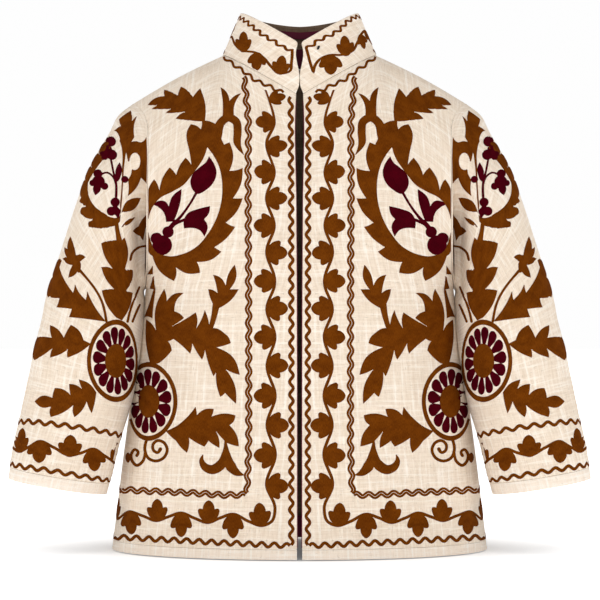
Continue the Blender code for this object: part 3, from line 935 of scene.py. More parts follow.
def curve(points, closed=False, step=1.8):
    """A smooth line through the points; a third value of 1 makes a point a corner."""
    flags = [len(p) > 2 and p[2] == 1 for p in points]
    at = np.array([p[:2] for p in points], float)
    if closed:
        first = flags.index(True) if True in flags else 0
        at = np.roll(at, -first, axis=0)
        flags = flags[first:] + flags[:first]
        if not flags[0]:
            return through(np.concatenate([at[-2:], at, at[:3]]), step, trim=2)
        at = np.concatenate([at, at[:1]])
        flags = [*flags, True]
    else:
        flags[0] = flags[-1] = True
    corners = [k for k, flag in enumerate(flags) if flag]
    pieces = [through(at[a : b + 1], step) for a, b in zip(corners, corners[1:])]
    joined = np.concatenate([piece[:-1] for piece in pieces] + [at[corners[-1]][None]])
    return joined[:-1] if closed else joined


def through(at, step, trim=0):
    chord = np.maximum(np.linalg.norm(np.diff(at, axis=0), axis=1), 1e-6)
    knots = np.concatenate([[0], np.cumsum(chord)])
    slope = np.empty_like(at)
    if len(at) > 2:
        rate = np.diff(at, axis=0) / chord[:, None]
        weight = (chord[1:] / (chord[1:] + chord[:-1]))[:, None]
        slope[1:-1] = rate[:-1] * weight + rate[1:] * (1 - weight)
        slope[0] = 1.5 * rate[0] - 0.5 * slope[1]
        slope[-1] = 1.5 * rate[-1] - 0.5 * slope[-2]
    else:
        slope[:] = (at[1] - at[0]) / chord[0]
    found = []
    for k in range(trim, len(at) - 1 - trim):
        count = max(1, int(round(chord[k] / step)))
        share = (np.arange(count) / count)[:, None]
        found.append(
            hermite(at[k], at[k + 1], slope[k] * chord[k], slope[k + 1] * chord[k], share)
        )
    if not trim:
        found.append(at[-1:])
    return np.concatenate(found)


def turned(points, at, direction, size):
    """A motif drawn round the origin and pointing along +u, laid at a place."""
    way = np.array(direction, float) / np.linalg.norm(direction)
    side = np.array([-way[1], way[0]])
    return [(*(np.array(at) + size * (p[0] * way + p[1] * side)), *p[2:3]) for p in points]


# Half of a petal: how far along it, as a share of its length, and how far out, as a share of its width.
HALF_PETAL = ((0, 0.14), (0.28, 0.34), (0.62, 0.5), (0.86, 0.42), (0.97, 0.2), (1, 0))


def petal(at, direction, length, width):
    """A rosette's petal, narrow at its base and round at its end."""
    half = [(x, y * width / length) for x, y in HALF_PETAL]
    return curve(turned(half + [(x, -y) for x, y in half[-2::-1]], at, direction, length), True, 1.2)


def disc(at, radius, stretch=1.0, steps=14):
    turn = np.linspace(0, 2 * math.pi, steps, endpoint=False)
    return np.array(at) + radius * np.stack([np.cos(turn), stretch * np.sin(turn)], axis=1)


def discs(rows, steps):
    """Discs given by x, y and radius."""
    return [disc((x, y), radius, steps=steps) for x, y, radius in rows]


def stroke(points, widths, step=2.0):
    """A line of changing width, round at its ends."""
    line = curve([p[:2] for p in points], False, step)
    far = distance_along(line)
    knots = np.array([far[np.argmin(np.linalg.norm(line - np.array(p[:2]), axis=1))] for p in points])
    half = np.interp(far, knots, widths) / 2
    way = unit(np.gradient(line, axis=0))
    side = square_to(way)
    left = line + side * half[:, None]
    right = line - side * half[:, None]
    ends = []
    for k, sign in ((-1, 1), (0, -1)):
        turns = np.radians([45, 90, 135]) if half[k] > 0.5 else []
        spokes = [side[k] * math.cos(turn) + way[k] * math.sin(turn) for turn in turns]
        ends.append([line[k] + sign * half[k] * spoke for spoke in spokes])
    return np.array([*left, *ends[0], *right[::-1], *ends[1]])


def inside(points, loop):
    x, y = points[:, 0][:, None], points[:, 1][:, None]
    ax, ay = loop[:, 0][None], loop[:, 1][None]
    bx, by = np.roll(loop[:, 0], -1)[None], np.roll(loop[:, 1], -1)[None]
    over = (ay > y) != (by > y)
    rise = np.where(by == ay, 1e-12, by - ay)
    return (over & (x < (bx - ax) * (y - ay) / rise + ax)).sum(axis=1) % 2 == 1


def edge_distance(points, starts, ends):
    found = np.empty(len(points))
    way = ends - starts
    size = np.maximum((way**2).sum(axis=1), 1e-12)
    for k in range(0, len(points), 400):
        off = points[k : k + 400, None] - starts[None]
        share = np.clip((off * way).sum(axis=2) / size, 0, 1)[..., None]
        found[k : k + 400] = np.sqrt(((off - share * way) ** 2).sum(axis=2).min(axis=1))
    return found


class Stitching:
    """All that is sewn on one panel: filled shapes and lines, as one mesh in two threads."""

    def __init__(self, canvas):
        self.canvas = canvas
        self.points, self.flat = [], []
        self.faces, self.threads = [], []
        self.count = 0

    def add(self, flat, height, faces, thread):
        self.points.append(self.canvas.raised(flat, height * MM))
        self.flat.append(flat)
        self.faces += [tuple(k + self.count for k in face) for face in faces]
        self.threads += [thread] * len(faces)
        self.count += len(flat)

    def fill(self, loops, holes=(), thread=0, spacing=4.0):
        loops = [self.canvas.clamp(loop) for loop in loops]
        holes = [self.canvas.clamp(hole) for hole in holes]
        edges, points = [], []
        for loop in (*loops, *holes):
            first, n = len(points), len(loop)
            points += [tuple(p) for p in loop]
            edges += [(first + k, first + (k + 1) % n) for k in range(n)]
        bounds = np.array(points)
        starts = bounds[[a for a, _ in edges]]
        ends = bounds[[b for _, b in edges]]
        extra = []
        for loop in (*loops, *holes):
            side = square_to(unit(np.roll(loop, -1, axis=0) - np.roll(loop, 1, axis=0)))
            extra += [loop + side * EDGE, loop - side * EDGE]
        beside_edges = len(extra)
        low, high = bounds.min(axis=0), bounds.max(axis=0)
        rows = np.arange(low[1], high[1], spacing * 0.87)
        for k, row in enumerate(rows):
            across = np.arange(low[0] + (k % 2) * spacing / 2, high[0], spacing)
            extra.append(np.stack([across, np.full(len(across), row)], axis=1))
        in_rows = np.concatenate([np.full(len(at), k >= beside_edges) for k, at in enumerate(extra)])
        extra = np.concatenate(extra)

        def within(at):
            kept = np.zeros(len(at), bool)
            for loop in loops:
                kept |= inside(at, loop)
            for hole in holes:
                kept &= ~inside(at, hole)
            return kept

        far = edge_distance(extra, starts, ends)
        kept = within(extra) & (far > np.where(in_rows, CLEAR_OF_EDGE, EDGE * 0.85))
        extra = extra[kept]
        everything = [Vector(p) for p in (*points, *map(tuple, extra))]
        verts, _, faces, *_ = geometry.delaunay_2d_cdt(everything, edges, [], 0, 1e-5, False)
        flat = np.array([tuple(v) for v in verts])
        faces = np.array([f for f in faces if len(f) == 3])
        centres = flat[faces].mean(axis=1)
        faces = faces[within(centres)]
        sides = np.sort(np.concatenate([faces[:, [0, 1]], faces[:, [1, 2]], faces[:, [2, 0]]]), axis=1)
        pairs, uses = np.unique(sides, axis=0, return_counts=True)
        rim = pairs[uses == 1]
        depth = edge_distance(flat, flat[rim[:, 0]], flat[rim[:, 1]])
        used = np.unique(faces)
        number = {int(k): n for n, k in enumerate(used)}
        faces = [tuple(number[int(k)] for k in face) for face in faces]
        depth = depth[used]
        round_off = np.sqrt(1 - (1 - np.minimum(depth / EDGE, 1)) ** 2)
        height = -SUNK + (THREAD + SUNK + 0.05 * thread) * round_off
        self.add(flat[used], height, faces, thread)

    def laid(self, shape):
        """A shape given in picture units, laid on the canvas and kept on one side of its seam."""
        flat = np.array([p[:2] for p in self.canvas.seen(shape)])
        far = flat[:, 0] - np.median(flat[:, 0])
        turn = self.canvas.round_once
        if turn < math.inf:
            flat[:, 0] -= np.where(np.abs(far) > turn / 2, np.sign(far) * turn, 0)
        return flat

    def sew(self, shapes, holes=(), thread=0, spacing=4.0):
        """Fills shapes given in picture units."""
        self.fill([*map(self.laid, shapes)], [*map(self.laid, holes)], thread, spacing)

    def line(self, points, width, thread=0, offset=0.0, groove=False, as_seen=False):
        """A raised cord along a line: on the canvas in mm, or in picture units where it is as seen."""
        path = np.array(points, float)
        side = square_to(unit(np.gradient(path, axis=0)))
        lanes = GROOVED_LANES if groove else ROUND_LANES
        flat = [path + side * (offset + width * across) for across, _ in lanes]
        if as_seen:
            flat = [self.laid(lane) for lane in flat]
        flat = self.canvas.clamp(np.concatenate(flat))
        n = len(path)
        tall = np.concatenate([np.full(n, level) for _, level in lanes])
        faces = []
        for lane in range(len(lanes) - 1):
            for k in range(n - 1):
                a = lane * n + k
                faces += [(a, a + 1, a + n + 1), (a, a + n + 1, a + n)]
        self.add(flat, tall, faces, thread)

    def wave(self, points, wavelength, amplitude, phase=0.0, strands=FINE_STRANDS, as_seen=False):
        """One or more strands in whole waves along a line, with sizes in mm."""
        size = MM / PIXEL if as_seen else 1.0
        path = curve(points, False, 1.7 * size)
        far = distance_along(path)
        cycles = max(1, round(far[-1] / (wavelength * size)))
        swing = np.sin(2 * math.pi * cycles * far / far[-1] + phase)
        side = square_to(unit(np.gradient(path, axis=0)))
        waved = path + side * (amplitude * size * swing)[:, None]
        for offset in strands["offsets"]:
            self.line(waved, strands["width"] * size, 0, offset * size, strands["groove"], as_seen)

    def mesh(self, name, flip=False):
        """The object, turned over to the other side of the jacket if asked."""
        places = np.concatenate(self.points)
        flat = np.concatenate(self.flat)
        if flip:
            places = mirrored(places)
        data = bpy.data.meshes.new(name)
        a, b, c = (places[[face[k] for face in self.faces]] for k in range(3))
        facing = np.cross(b - a, c - a)
        middle = (a + b + c) / 3
        as_sewn = mirrored(middle) if flip else middle
        outward = np.array([self.canvas.tree.find_nearest(Vector(place))[1] for place in as_sewn])
        outward = outward * self.canvas.sign
        turned_over = (facing * (mirrored(outward) if flip else outward)).sum(axis=1) < 0
        faces = [face[::-1] if over else face for face, over in zip(self.faces, turned_over)]
        data.from_pydata([tuple(p) for p in places], [], faces)
        cloth = data.uv_layers.new(name="canvas")
        corners = np.array([k for face in faces for k in face])
        cloth.data.foreach_set("uv", flat[corners].reshape(-1))
        data.materials.append(brown)
        data.materials.append(maroon_thread)
        data.polygons.foreach_set("material_index", self.threads)
        data.shade_smooth()
        obj = add_object(name, data)
        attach(obj, "root")
        return obj

    def placed(self, at, shape):
        """A motif in its own right and up, in mm, laid at a place without being stretched."""
        frame = self.canvas.frame_at(at[:2])
        return np.array(at[:2]) + np.array(shape) @ frame.T


def rows_up(grid):
    """How far up the panel each row lies on average, in mm."""
    steps = np.linalg.norm(np.diff(grid, axis=0), axis=2).mean(axis=1)
    return np.concatenate([[0], np.cumsum(steps)]) / MM


def half_canvas(outer, facing):
    """The canvas of half a body panel, on the viewer's left."""
    grid = mirrored(outer)[:, ::-1]
    far = distance_along(grid, 1)
    normals = normals_of(outer) * (1 if facing < 0 else -1)
    normals = mirrored(normals)[:, ::-1]
    return Canvas(grid, (far - far[:, -1:]) / MM, rows_up(grid), normals, CAMERA_Y * -facing)


def sleeve_canvas(outer):
    half = SLEEVE_TURNS // 2
    grid = mirrored(np.roll(outer, half, axis=1))
    normals = mirrored(np.roll(normals_of(outer, closed=True), half, axis=1))
    grid = np.concatenate([grid, grid[:, :1]], axis=1)[::-1]
    normals = np.concatenate([normals, normals[:, :1]], axis=1)[::-1]
    far = distance_along(grid, 1)
    return Canvas(grid, (far - far[:, half : half + 1]) / MM, rows_up(grid), normals, closed=True)


def collar_canvas(outer):
    grid = outer[:, ::-1]
    normals = -unit(round_neck_inward(outer))[:, ::-1]
    far = distance_along(grid, 1)
    middle = far[:, COLLAR_TURNS // 2 : COLLAR_TURNS // 2 + 1]
    return Canvas(grid, (far - middle) / MM, rows_up(grid), normals)


# Motifs. Places are in picture units, right and down, as the front camera sees the viewer's left half.

BELLY = 0.52
TIP_POWER = 1.8


def blade(base, tip, width, bow=0.0, foot=0.6):
    """A pointed lobe, bowed to the left of its way where bow is above 0."""
    base, tip = np.array(base, float), np.array(tip, float)
    way = tip - base
    side = np.array([way[1], -way[0]])
    share = np.linspace(0, 1, max(9, int(np.linalg.norm(way) / 2.4)))[:, None]
    middle = base + way * share + side * bow * np.sin(math.pi * share)
    along = unit(np.gradient(middle, axis=0))
    across = np.stack([along[:, 1], -along[:, 0]], axis=1)
    swell = foot + (1 - foot) * np.sin(math.pi / 2 * np.minimum(share / BELLY, 1))
    taper = 1 - np.clip((share - BELLY) / (1 - BELLY), 0, 1) ** TIP_POWER
    half = width / 2 * swell * taper
    return np.concatenate([middle + across * half, (middle - across * half)[-2::-1]])


def leaf(*rows):
    """A leaf through its tips and notches, clockwise: x, y and the outward bow of the edge that follows."""
    found = []
    for row, after in zip(rows, (*rows[1:], rows[0])):
        start, end = np.array(row[:2], float), np.array(after[:2], float)
        way = end - start
        outward = np.array([way[1], -way[0]]) * row[2]
        share = np.linspace(0, 1, max(2, int(np.linalg.norm(way) / 2.2)) + 1)[:-1, None]
        found.append(start + way * share + outward * np.sin(math.pi * share))
    return np.concatenate(found)


# Half of a vine flower, along its way and across it, in half widths; a third value of 1 is a corner.
FLOWER = (
    (-0.06, 0.22), (0.12, 0.50), (0.40, 0.80), (0.75, 0.97), (1.08, 1.03), (1.22, 0.94), (1.24, 0.78),
    (1.20, 0.57, 1), (1.45, 0.53), (1.72, 0.39), (1.92, 0.17), (1.98, 0),
)
FLOWER = FLOWER + tuple((p[0], -p[1], *p[2:3]) for p in FLOWER[-2::-1])


def flower(direction, size, length=1.0):
    shape = [(p[0] * length, *p[1:]) for p in FLOWER]
    return curve(turned(shape, (0, 0), direction, size), True, 1.6)


STEM = (
    (265.5, 90), (270, 103), (274.3, 121), (266.5, 145), (274.3, 172), (266.5, 199), (274.3, 226),
    (266.6, 252.5), (274.8, 281), (266.8, 309), (275, 337), (267, 366), (275.2, 396), (267, 425),
    (275.4, 454.5), (266.5, 485), (275, 509), (272, 521), (262, 525.6), (249, 521.5), (233, 514.2),
    (220, 518), (208.5, 522.5), (194, 518), (181.5, 513), (169, 516.5), (157, 520.6), (143, 516),
    (130.5, 511.7),
)
COLLAR_SEAM_WAVE = (
    (283.4, 92.6), (275.7, 89.4), (267, 85.1), (256.2, 80.6), (244.3, 71.8), (234.5, 65.2), (226.4, 59),
    (224, 56.6),
)
VINE_FLOWERS = (
    # x, y, right, down, half width in mm, length
    (269.6, 99.8, 1, -0.25, 10.6, 0.98),
    (274.0, 121, -1, 0.1, 13.2, 0.94),
    (267.0, 146.5, 1, 0, 14.6, 0.88),
    (273.8, 172.4, -1, 0, 14.8, 0.86),
    (267.0, 198.5, 1, 0, 15.0, 0.86),
    (273.8, 225.5, -1, 0, 15.0, 0.86),
    (267.0, 251.5, 1, 0.1, 15.2, 0.86),
    (274.2, 280.5, -1, 0.04, 15.2, 0.86),
    (267.2, 308.5, 1, 0, 15.4, 0.86),
    (274.5, 336.5, -1, 0.06, 15.4, 0.86),
    (267.3, 365.5, 1, 0, 15.6, 0.86),
    (274.7, 395.3, -1, 0.04, 15.8, 0.85),
    (267.5, 425.3, 1, 0, 16.0, 0.85),
    (275.0, 455.5, -1, 0, 16.0, 0.85),
    (267.0, 486, 1, 0, 16.0, 0.85),
)
HEM_FLOWERS = (
    # x, y, right, down, half width in picture units, length
    (260.6, 525.4, -0.06, -1, 10.9, 1.06),
    (233, 514.6, 0, 1, 10.6, 1.14),
    (208.7, 522.4, 0, -1, 10.6, 1.06),
    (181.2, 513.4, 0, 1, 10.6, 1.14),
    (157.2, 520.6, 0, -1, 10.2, 1.08),
    (130.6, 512.2, 0.04, 1, 10.0, 1.14),
)
HEM_FLOWER_STEP = 42.0
HEM_SWING = 12.0


def to_side(canvas, route):
    """A route on a body panel, carried on level to its side seam."""
    u, v = route[-1][:2]
    end = canvas.blended(np.array([v]))[2][0, 0] + 1.0
    return [tuple(p[:2]) for p in route] + [(x, v) for x in np.linspace(u, end, 5)[1:]]


# Upper ends of the two waves that run down beside a front edge, and of the same two on the back.
FRONT_TOPS = ((290.6, 97), (243.8, 77))
BACK_TOPS = ((290.6, 66), (246, 62))
EDGE_ROUTE = ((291.0, 160), (291.2, 250), (291.4, 400), (291.2, 545))
INNER_ROUTE = (
    (245.6, 93), (247.6, 112), (248, 175), (248.6, 290), (248.7, 390), (248.5, 450), (246.9, 493),
)
HEM_INNER_ROUTE = ((246, 494.6), (228, 495), (189, 492.8), (151, 491.2), (121.5, 489.6))
HEM_OUTER_ROUTE = ((290, 545.8), (220, 542.6), (160, 539.4), (114.5, 537.0))

# Each wave's length and swing, in mm.
EDGE_WAVE = (16.6, 2.4)
INNER_WAVE = (17.8, 1.9)
HEM_INNER_WAVE = (17.0, 2.3)
HEM_OUTER_WAVE = (16.4, 2.9)
SEAM_WAVE = (14.5, 2.0)
CUFF_WAVE = (18.2, 2.4)
COLLAR_WAVE = (14.0, 2.0)


def sew_flowers(work, rows):
    """Vine flowers whose size and way are as seen in the picture."""
    for x, y, right, down, size, length in rows:
        work.sew([np.array([x, y]) + flower((right, down), size, length)])


def sew_borders(work, tops):
    c = work.canvas
    work.wave([tops[0], *EDGE_ROUTE], *EDGE_WAVE, strands=FINE_STRANDS, as_seen=True)
    work.wave([tops[1], *INNER_ROUTE], *INNER_WAVE, math.pi, WIDE_STRANDS, True)
    for route, wave, strands in (
        (HEM_INNER_ROUTE, HEM_INNER_WAVE, WIDE_STRANDS),
        (HEM_OUTER_ROUTE, HEM_OUTER_WAVE, FINE_STRANDS),
    ):
        work.wave(route, *wave, 0.0, strands, True)
        work.wave(to_side(c, c.seen(route[-1:])), *wave, 0.0, strands)
    work.wave(COLLAR_SEAM_WAVE, *SEAM_WAVE, strands=COLLAR_STRANDS, as_seen=True)
    route = [tuple(p[:2]) for p in c.seen(STEM)]
    u, v = route[-1]
    end = c.blended(np.array([v]))[2][0, 0]
    way = -1
    while u - HEM_FLOWER_STEP > end:
        u, v = u - HEM_FLOWER_STEP, v + way * HEM_SWING
        route.append((u, v))
        if u - end > 15:
            work.fill([np.array([u, v]) + flower((0, -way), 13.6, 1.0)])
        way = -way
    route.append((end + 1.5, v + way * HEM_SWING * (u - end) / HEM_FLOWER_STEP))
    work.line(curve(route, False, 1.8), STEM_WIDE)
    for x, y, right, down, size, length in VINE_FLOWERS:
        at = c.seen([(x, y)])[0]
        work.fill([work.placed(at, flower((right, -down), size, length))])
    sew_flowers(work, HEM_FLOWERS)


def sew_chest(work):
    hole = curve(
        [
            (207.3, 147.5, 1), (213.5, 155.8), (218.2, 164.8), (221.2, 176), (222.2, 187), (221.4, 200),
            (217.2, 216), (208.5, 232.7), (196, 247), (183, 253.8), (168, 256), (155.5, 250.5),
            (150.2, 239), (148.4, 221), (151.6, 209), (160, 198.2), (172, 192), (184.6, 184),
            (190, 177.6), (196.8, 168.6), (203.4, 158.6),
        ],
        True,
    )
    paisley = leaf(
        (201.6, 120.2, 0.08), (215.8, 124, -0.03), (224.2, 144.4, 0.02), (229.6, 142.2, 0.13),
        (229.6, 170.8, -0.06), (242.8, 167.8, 0.10), (233.2, 198.2, -0.03), (242.9, 198.2, 0.09),
        (226, 222.6, -0.06), (235.4, 226.8, 0.07), (214.6, 247.2, -0.04), (221.8, 251.4, 0.13),
        (197.2, 262.2, 0.06), (200.2, 272.8, 0.14), (176.2, 267.8, 0.10), (174, 281.2, 0.13),
        (152.2, 256, 0), (145.4, 251.4, 0.01), (147.2, 198.4, 0.10), (154.4, 178.8, 0.05),
        (159.4, 189.6, 0.08), (169.6, 167.2, 0.05), (176.2, 174.6, 0.07), (185.6, 157.6, 0.04),
        (191.2, 164.2, -0.02), (187.2, 143, 0.13), (190.8, 124, 0.10), (200.8, 129, -0.08),
    )
    arch = stroke(
        [
            (215, 150), (217.4, 134), (221, 122.6), (228, 117.6), (236, 121.6), (237.6, 132),
            (237.2, 142), (244, 155),
        ],
        [10, 10, 8.6, 8.2, 8.2, 8.2, 7.8, 0.5],
        1.6,
    )
    tulip = leaf(
        (222.4, 119, -0.04), (220.4, 86.8, 0.14), (229.6, 100.6, 0.10), (241.4, 93, -0.13),
        (234.4, 119, 0)
    )
    half_leaf = leaf(
        (147.4, 105.4, 0.13), (164.2, 95.8, 0.02), (163.4, 89.4, 0.06), (177.6, 95, 0.02),
        (181, 86.2, 0.08), (193, 96.8, 0.03), (200.4, 88, 0.08), (205, 121.8, 0.01), (175.4, 119, 0.08),
        (184.6, 111.8, 0.02), (165.4, 113.4, 0.06), (170.4, 109.2, 0), (151.2, 109.5, 0.05),
        (156.4, 105.6, 0),
    )
    work.sew([paisley, arch, tulip, half_leaf], [hole])
    bud = curve(
        [
            (208.9, 156.2, 1), (213.8, 163), (216.6, 172), (214.4, 181), (207, 189.4), (196.8, 193.8),
            (192, 188.8), (190.3, 181.4), (193, 173.4), (200.4, 166.6), (205.6, 162.4),
        ],
        True,
    )
    stems = [
        stroke([(197.2, 191), (190.5, 203), (182, 215), (172, 226)], [2.8, 2.4, 2.8, 4.4], 1.6),
        stroke([(172.5, 225.5), (178, 222.5), (185.5, 219.4)], [3.0, 3.0, 3.2], 1.6),
        stroke([(175, 221), (171.6, 226), (168.6, 231)], [3.0, 4.6, 7.0], 1.6),
    ]
    up_tulip = curve(
        [
            (181.6, 188.9, 1), (180.8, 200), (177.6, 212), (173.8, 221.6, 1), (166, 222, 1),
            (163.6, 212.4), (152.8, 204.4, 1), (158.6, 200.8), (165, 201.2), (168.8, 206, 1),
            (172.6, 196),
        ],
        True,
    )
    low_tulip = curve(
        [
            (210.2, 206, 1), (208.8, 213.6), (204.2, 219.2, 1), (207.6, 225.4), (204.4, 236.8, 1),
            (199.2, 230), (191.6, 228), (184, 228.6, 1), (183.6, 220.6), (188, 213), (197.6, 209),
        ],
        True,
    )
    berry = discs(((162.2, 245.2, 10.0), (156.6, 238.6, 6.2), (168.0, 232.0, 5.8)), 18)
    work.sew([bud, *stems, up_tulip, low_tulip, *berry], thread=1, spacing=3.4)


def sew_side_spray(work):
    branch = leaf(
        (150.6, 366, 0.05), (146.2, 319, 0.08), (155.8, 330, 0.11), (164.2, 288.6, 0.06),
        (166.8, 300.8, 0.17), (184.2, 292.8, -0.15), (174.4, 311.2, 0.10), (184.2, 318, 0.02),
        (172.6, 326, -0.02), (195.8, 312.2, 0.09), (196.6, 327.8, -0.04), (204.8, 309.8, 0.05),
        (209.6, 328, 0.13), (224.2, 333, 0.12), (230.9, 343.2, 0.03), (217, 347.4, 0.17),
        (239.9, 375, 0.04), (226.4, 369.8, 0.11), (236.2, 404, 0.02), (225.2, 393.2, 0.06),
        (220.2, 397, 0.06), (215.8, 373, 0.02), (213.4, 376.6, 0.03), (205, 350.4, 0.04),
        (202.1, 360, 0.03), (192.4, 344, 0.04), (190.2, 354, -0.03), (173.4, 339, 0.08),
        (168.2, 341.2, 0.08), (171.9, 350.4, 0.04), (159.4, 363, 0),
    )
    sprig = leaf(
        (206, 334, -0.04), (212.6, 303.6, 0.05), (208.1, 289, 0.10), (217.4, 292.8, -0.03),
        (212.8, 274.4, 0.15), (225.7, 285, 0.09), (234.8, 264.4, 0.16), (230, 289.2, 0),
        (238.9, 289.2, 0.09), (219.2, 308.2, 0.02), (211, 334, 0),
    )
    thin = leaf(
        (141.4, 318, 0.05), (142.4, 291, 0.06), (152.9, 265.2, 0.06), (149.4, 288.6, -0.05),
        (153.4, 289.4, 0.02), (143.8, 318, 0),
    )
    work.sew([branch, sprig])
    work.sew([thin])


SKIRT_ROSETTE = dict(at=(148.4, 401.4), radius=39.6, spread=0.634, lean=0.0026, petals=13, turn=0.04)
SLEEVE_ROSETTE = dict(at=(116.2, 360.8), radius=41.4, spread=0.616, lean=-0.0023, petals=14, turn=0.1)

# Parts of a rosette as shares of its radius.
RING_INSIDE = 0.868
DISC_RADIUS = 0.42
PETAL_START = 0.40
PETAL_LENGTH = 0.425
PETALS_ROUND = 4.1


def sew_rosette(work, at, radius, spread, lean, petals, turn):
    """A rosette as seen: its width is spread, and leans to one side, as the cloth turns away."""

    def seen(shape):
        x, y = shape[:, 0], shape[:, 1]
        return np.stack([at[0] + spread * x + lean * x * x, at[1] - y], axis=1)

    work.sew([seen(disc((0, 0), radius, steps=72))], [seen(disc((0, 0), radius * RING_INSIDE, steps=64))])
    for k in range(petals):
        angle = math.pi / 2 + turn + 2 * math.pi * k / petals
        way = np.array([math.cos(angle), math.sin(angle)])
        width = PETALS_ROUND * radius / petals * (1 + 0.04 * math.sin(5.1 * k))
        shape = petal(way * radius * PETAL_START, way, radius * PETAL_LENGTH, width)
        work.sew([seen(shape)], thread=1, spacing=3.2)
    work.sew([seen(disc((0, 0), radius * DISC_RADIUS, steps=40))])


def sew_low_group(work):
    spray = leaf(
        (165.6, 431, -0.03), (178, 425, -0.04), (195.6, 406.6, 0.03), (197, 414.8, 0.15),
        (213.9, 408.8, 0.04), (211.8, 416.4, 0.10), (235.6, 415.2, 0.14), (229.8, 425.2, 0.11),
        (239, 446.6, 0.03), (226.8, 443, 0), (224.6, 441, 0.02), (216.4, 431.8, 0.08),
        (219.5, 448.2, 0.03), (208.4, 441, 0.03), (204.5, 446.8, 0.03), (189.2, 438.2, 0.07),
        (187, 453, 0.05), (176, 441, 0.03),
    )
    hooks = [
        stroke(
            [
                (225.4, 440), (225.2, 453), (220.6, 465), (212, 469.6), (204.4, 466.4), (201.6, 460.6),
                (203.2, 454.4),
            ],
            [1.6, 6.6, 10.4, 9.6, 7.8, 5.2, 0.8],
            1.5,
        ),
        stroke(
            [(225.4, 441), (227, 455), (231, 466.6), (237, 472.6), (244.7, 475.2)],
            [2, 7.5, 11, 7.4, 0.5],
            1.5,
        ),
    ]
    curl = stroke(
        [
            (146.5, 440), (144.9, 450), (148.2, 458), (156, 461), (164, 457.4), (167.2, 449.4),
            (163.6, 442.4), (157.4, 440.6), (153, 444.6), (153.6, 450.4), (157.4, 452.6), (160.4, 449),
        ],
        [3.2] * 11 + [3.8],
        1.3,
    )
    small_curl = stroke(
        [
            (145, 453), (142.4, 461.8), (136.8, 465.4), (132, 460.6), (131.4, 454), (135, 449.4),
            (138.2, 452), (136.8, 455.6),
        ],
        [2.8, 3.2, 3.3, 3.2, 3.1, 3.0, 3.0, 3.4],
        1.3,
    )
    work.sew([spray, *hooks, curl, small_curl, disc((128, 457.6), 2.5, 2.1, steps=14)])
    sew_rosette(work, **SKIRT_ROSETTE)


def sew_panel(work, tops):
    """All that a front carries, and each half of the back."""
    sew_borders(work, tops)
    sew_chest(work)
    sew_side_spray(work)
    sew_low_group(work)


def sew_egg(work):
    """The rounded medallion at the top of the sleeve, with its flowers and the leaf above it."""
    hole = curve(
        [
            (110.5, 134), (115.6, 136), (120.2, 143), (122.2, 153), (122, 168), (121.4, 186),
            (120, 204), (118.6, 217), (112, 217.4), (104, 213), (95, 206.4), (89.6, 198), (87.8, 186),
            (91, 173), (98, 158.4), (104.4, 144),
        ],
        True,
    )
    border = leaf(
        (107, 130, 0), (113.6, 131.2, 0.04), (120.6, 125.8, 0.03), (118.6, 119.4, 0.02),
        (131.2, 110.2, 0.05), (132.2, 120.6, 0.04), (137.2, 115.8, -0.08), (134.4, 137, -0.02),
        (125.8, 154, 0), (124, 168, 0), (122.4, 196, 0), (120, 222, 0.02), (115.4, 225.6, 0.09),
        (88.6, 227, 0.30), (92.4, 219.4, 0.12), (80.4, 213.6, 0.30), (85.6, 206.4, 0.10),
        (79, 201.6, -0.02), (84.6, 190, 0.04), (88, 171, 0), (101, 141, 0.03),
    )
    stem = stroke([(116.2, 222), (117.6, 232), (119.8, 243)], [4.0, 4.4, 6.4], 1.6)
    work.sew([border, stem], [hole])
    lobes = discs(
        (
            (110.8, 141.4, 5.4), (104.2, 155.4, 5), (112, 154.8, 5.4), (107.6, 149.6, 4.6),
            (98, 173.8, 4.7), (98.4, 182, 6.8), (104.6, 186.2, 3.8), (92.6, 183, 3.4),
            (115.2, 202.2, 4.8), (111.4, 211.2, 4.8), (117, 211.6, 4), (124.8, 179.4, 3.8),
        ),
        14,
    )
    work.sew(
        [
            *lobes,
            blade((98.6, 182), (95.2, 195.4), 8, 0.0),
            leaf((117.2, 182.0, 0.16), (119.6, 162.0, 0.14), (120.8, 176.0, 0.10)),
            stroke([(110.8, 158), (113.2, 171), (116, 183), (115.8, 200)], [2.4, 2.2, 2.6, 2.8], 1.6),
            stroke([(102, 174), (107, 172.6), (112.4, 176), (116, 184)], [2.2, 2.2, 2.2, 2.4], 1.6),
            stroke([(115, 206), (117.4, 214), (118.4, 219)], [5, 5, 1.0], 1.6),
        ],
        thread=1,
        spacing=3.4,
    )


def sew_valley(work):
    """The scroll, the leaves and the curled flower in the fold between the sleeve and the body."""
    scroll = curve(
        [
            (146.4, 136.5, 1), (147.2, 158), (146.6, 183.8, 1), (144.2, 181), (141, 178, 1), (137, 187),
            (127.6, 196.6, 1), (128.6, 188), (127.8, 180, 1), (131.4, 172), (127.6, 160), (126.4, 150),
            (129.4, 143), (136.2, 141), (141.4, 142.2), (144.6, 139.8),
        ],
        True,
    )
    eye = disc((134.9, 161.4), 5.3, 1.6, steps=18)
    work.sew([scroll], [eye])
    work.sew([
        leaf((121.2, 213.0, 0.24), (141.0, 197.6, 0.20)),
        leaf((121.0, 227.6, 0.14), (135.4, 217.0, 0.12)),
        leaf(
            (146.4, 214.6, 0.10), (145.4, 229, 0), (143.2, 241, 0.04), (139.6, 236, 0.05),
            (132.6, 231.4, 0.08), (138.4, 226.4, 0.06),
        ),
        stroke([(146, 246), (139, 247.4), (132.4, 253), (130.4, 260)], [2.4, 2.4, 2.6, 2.4], 1.6),
    ])


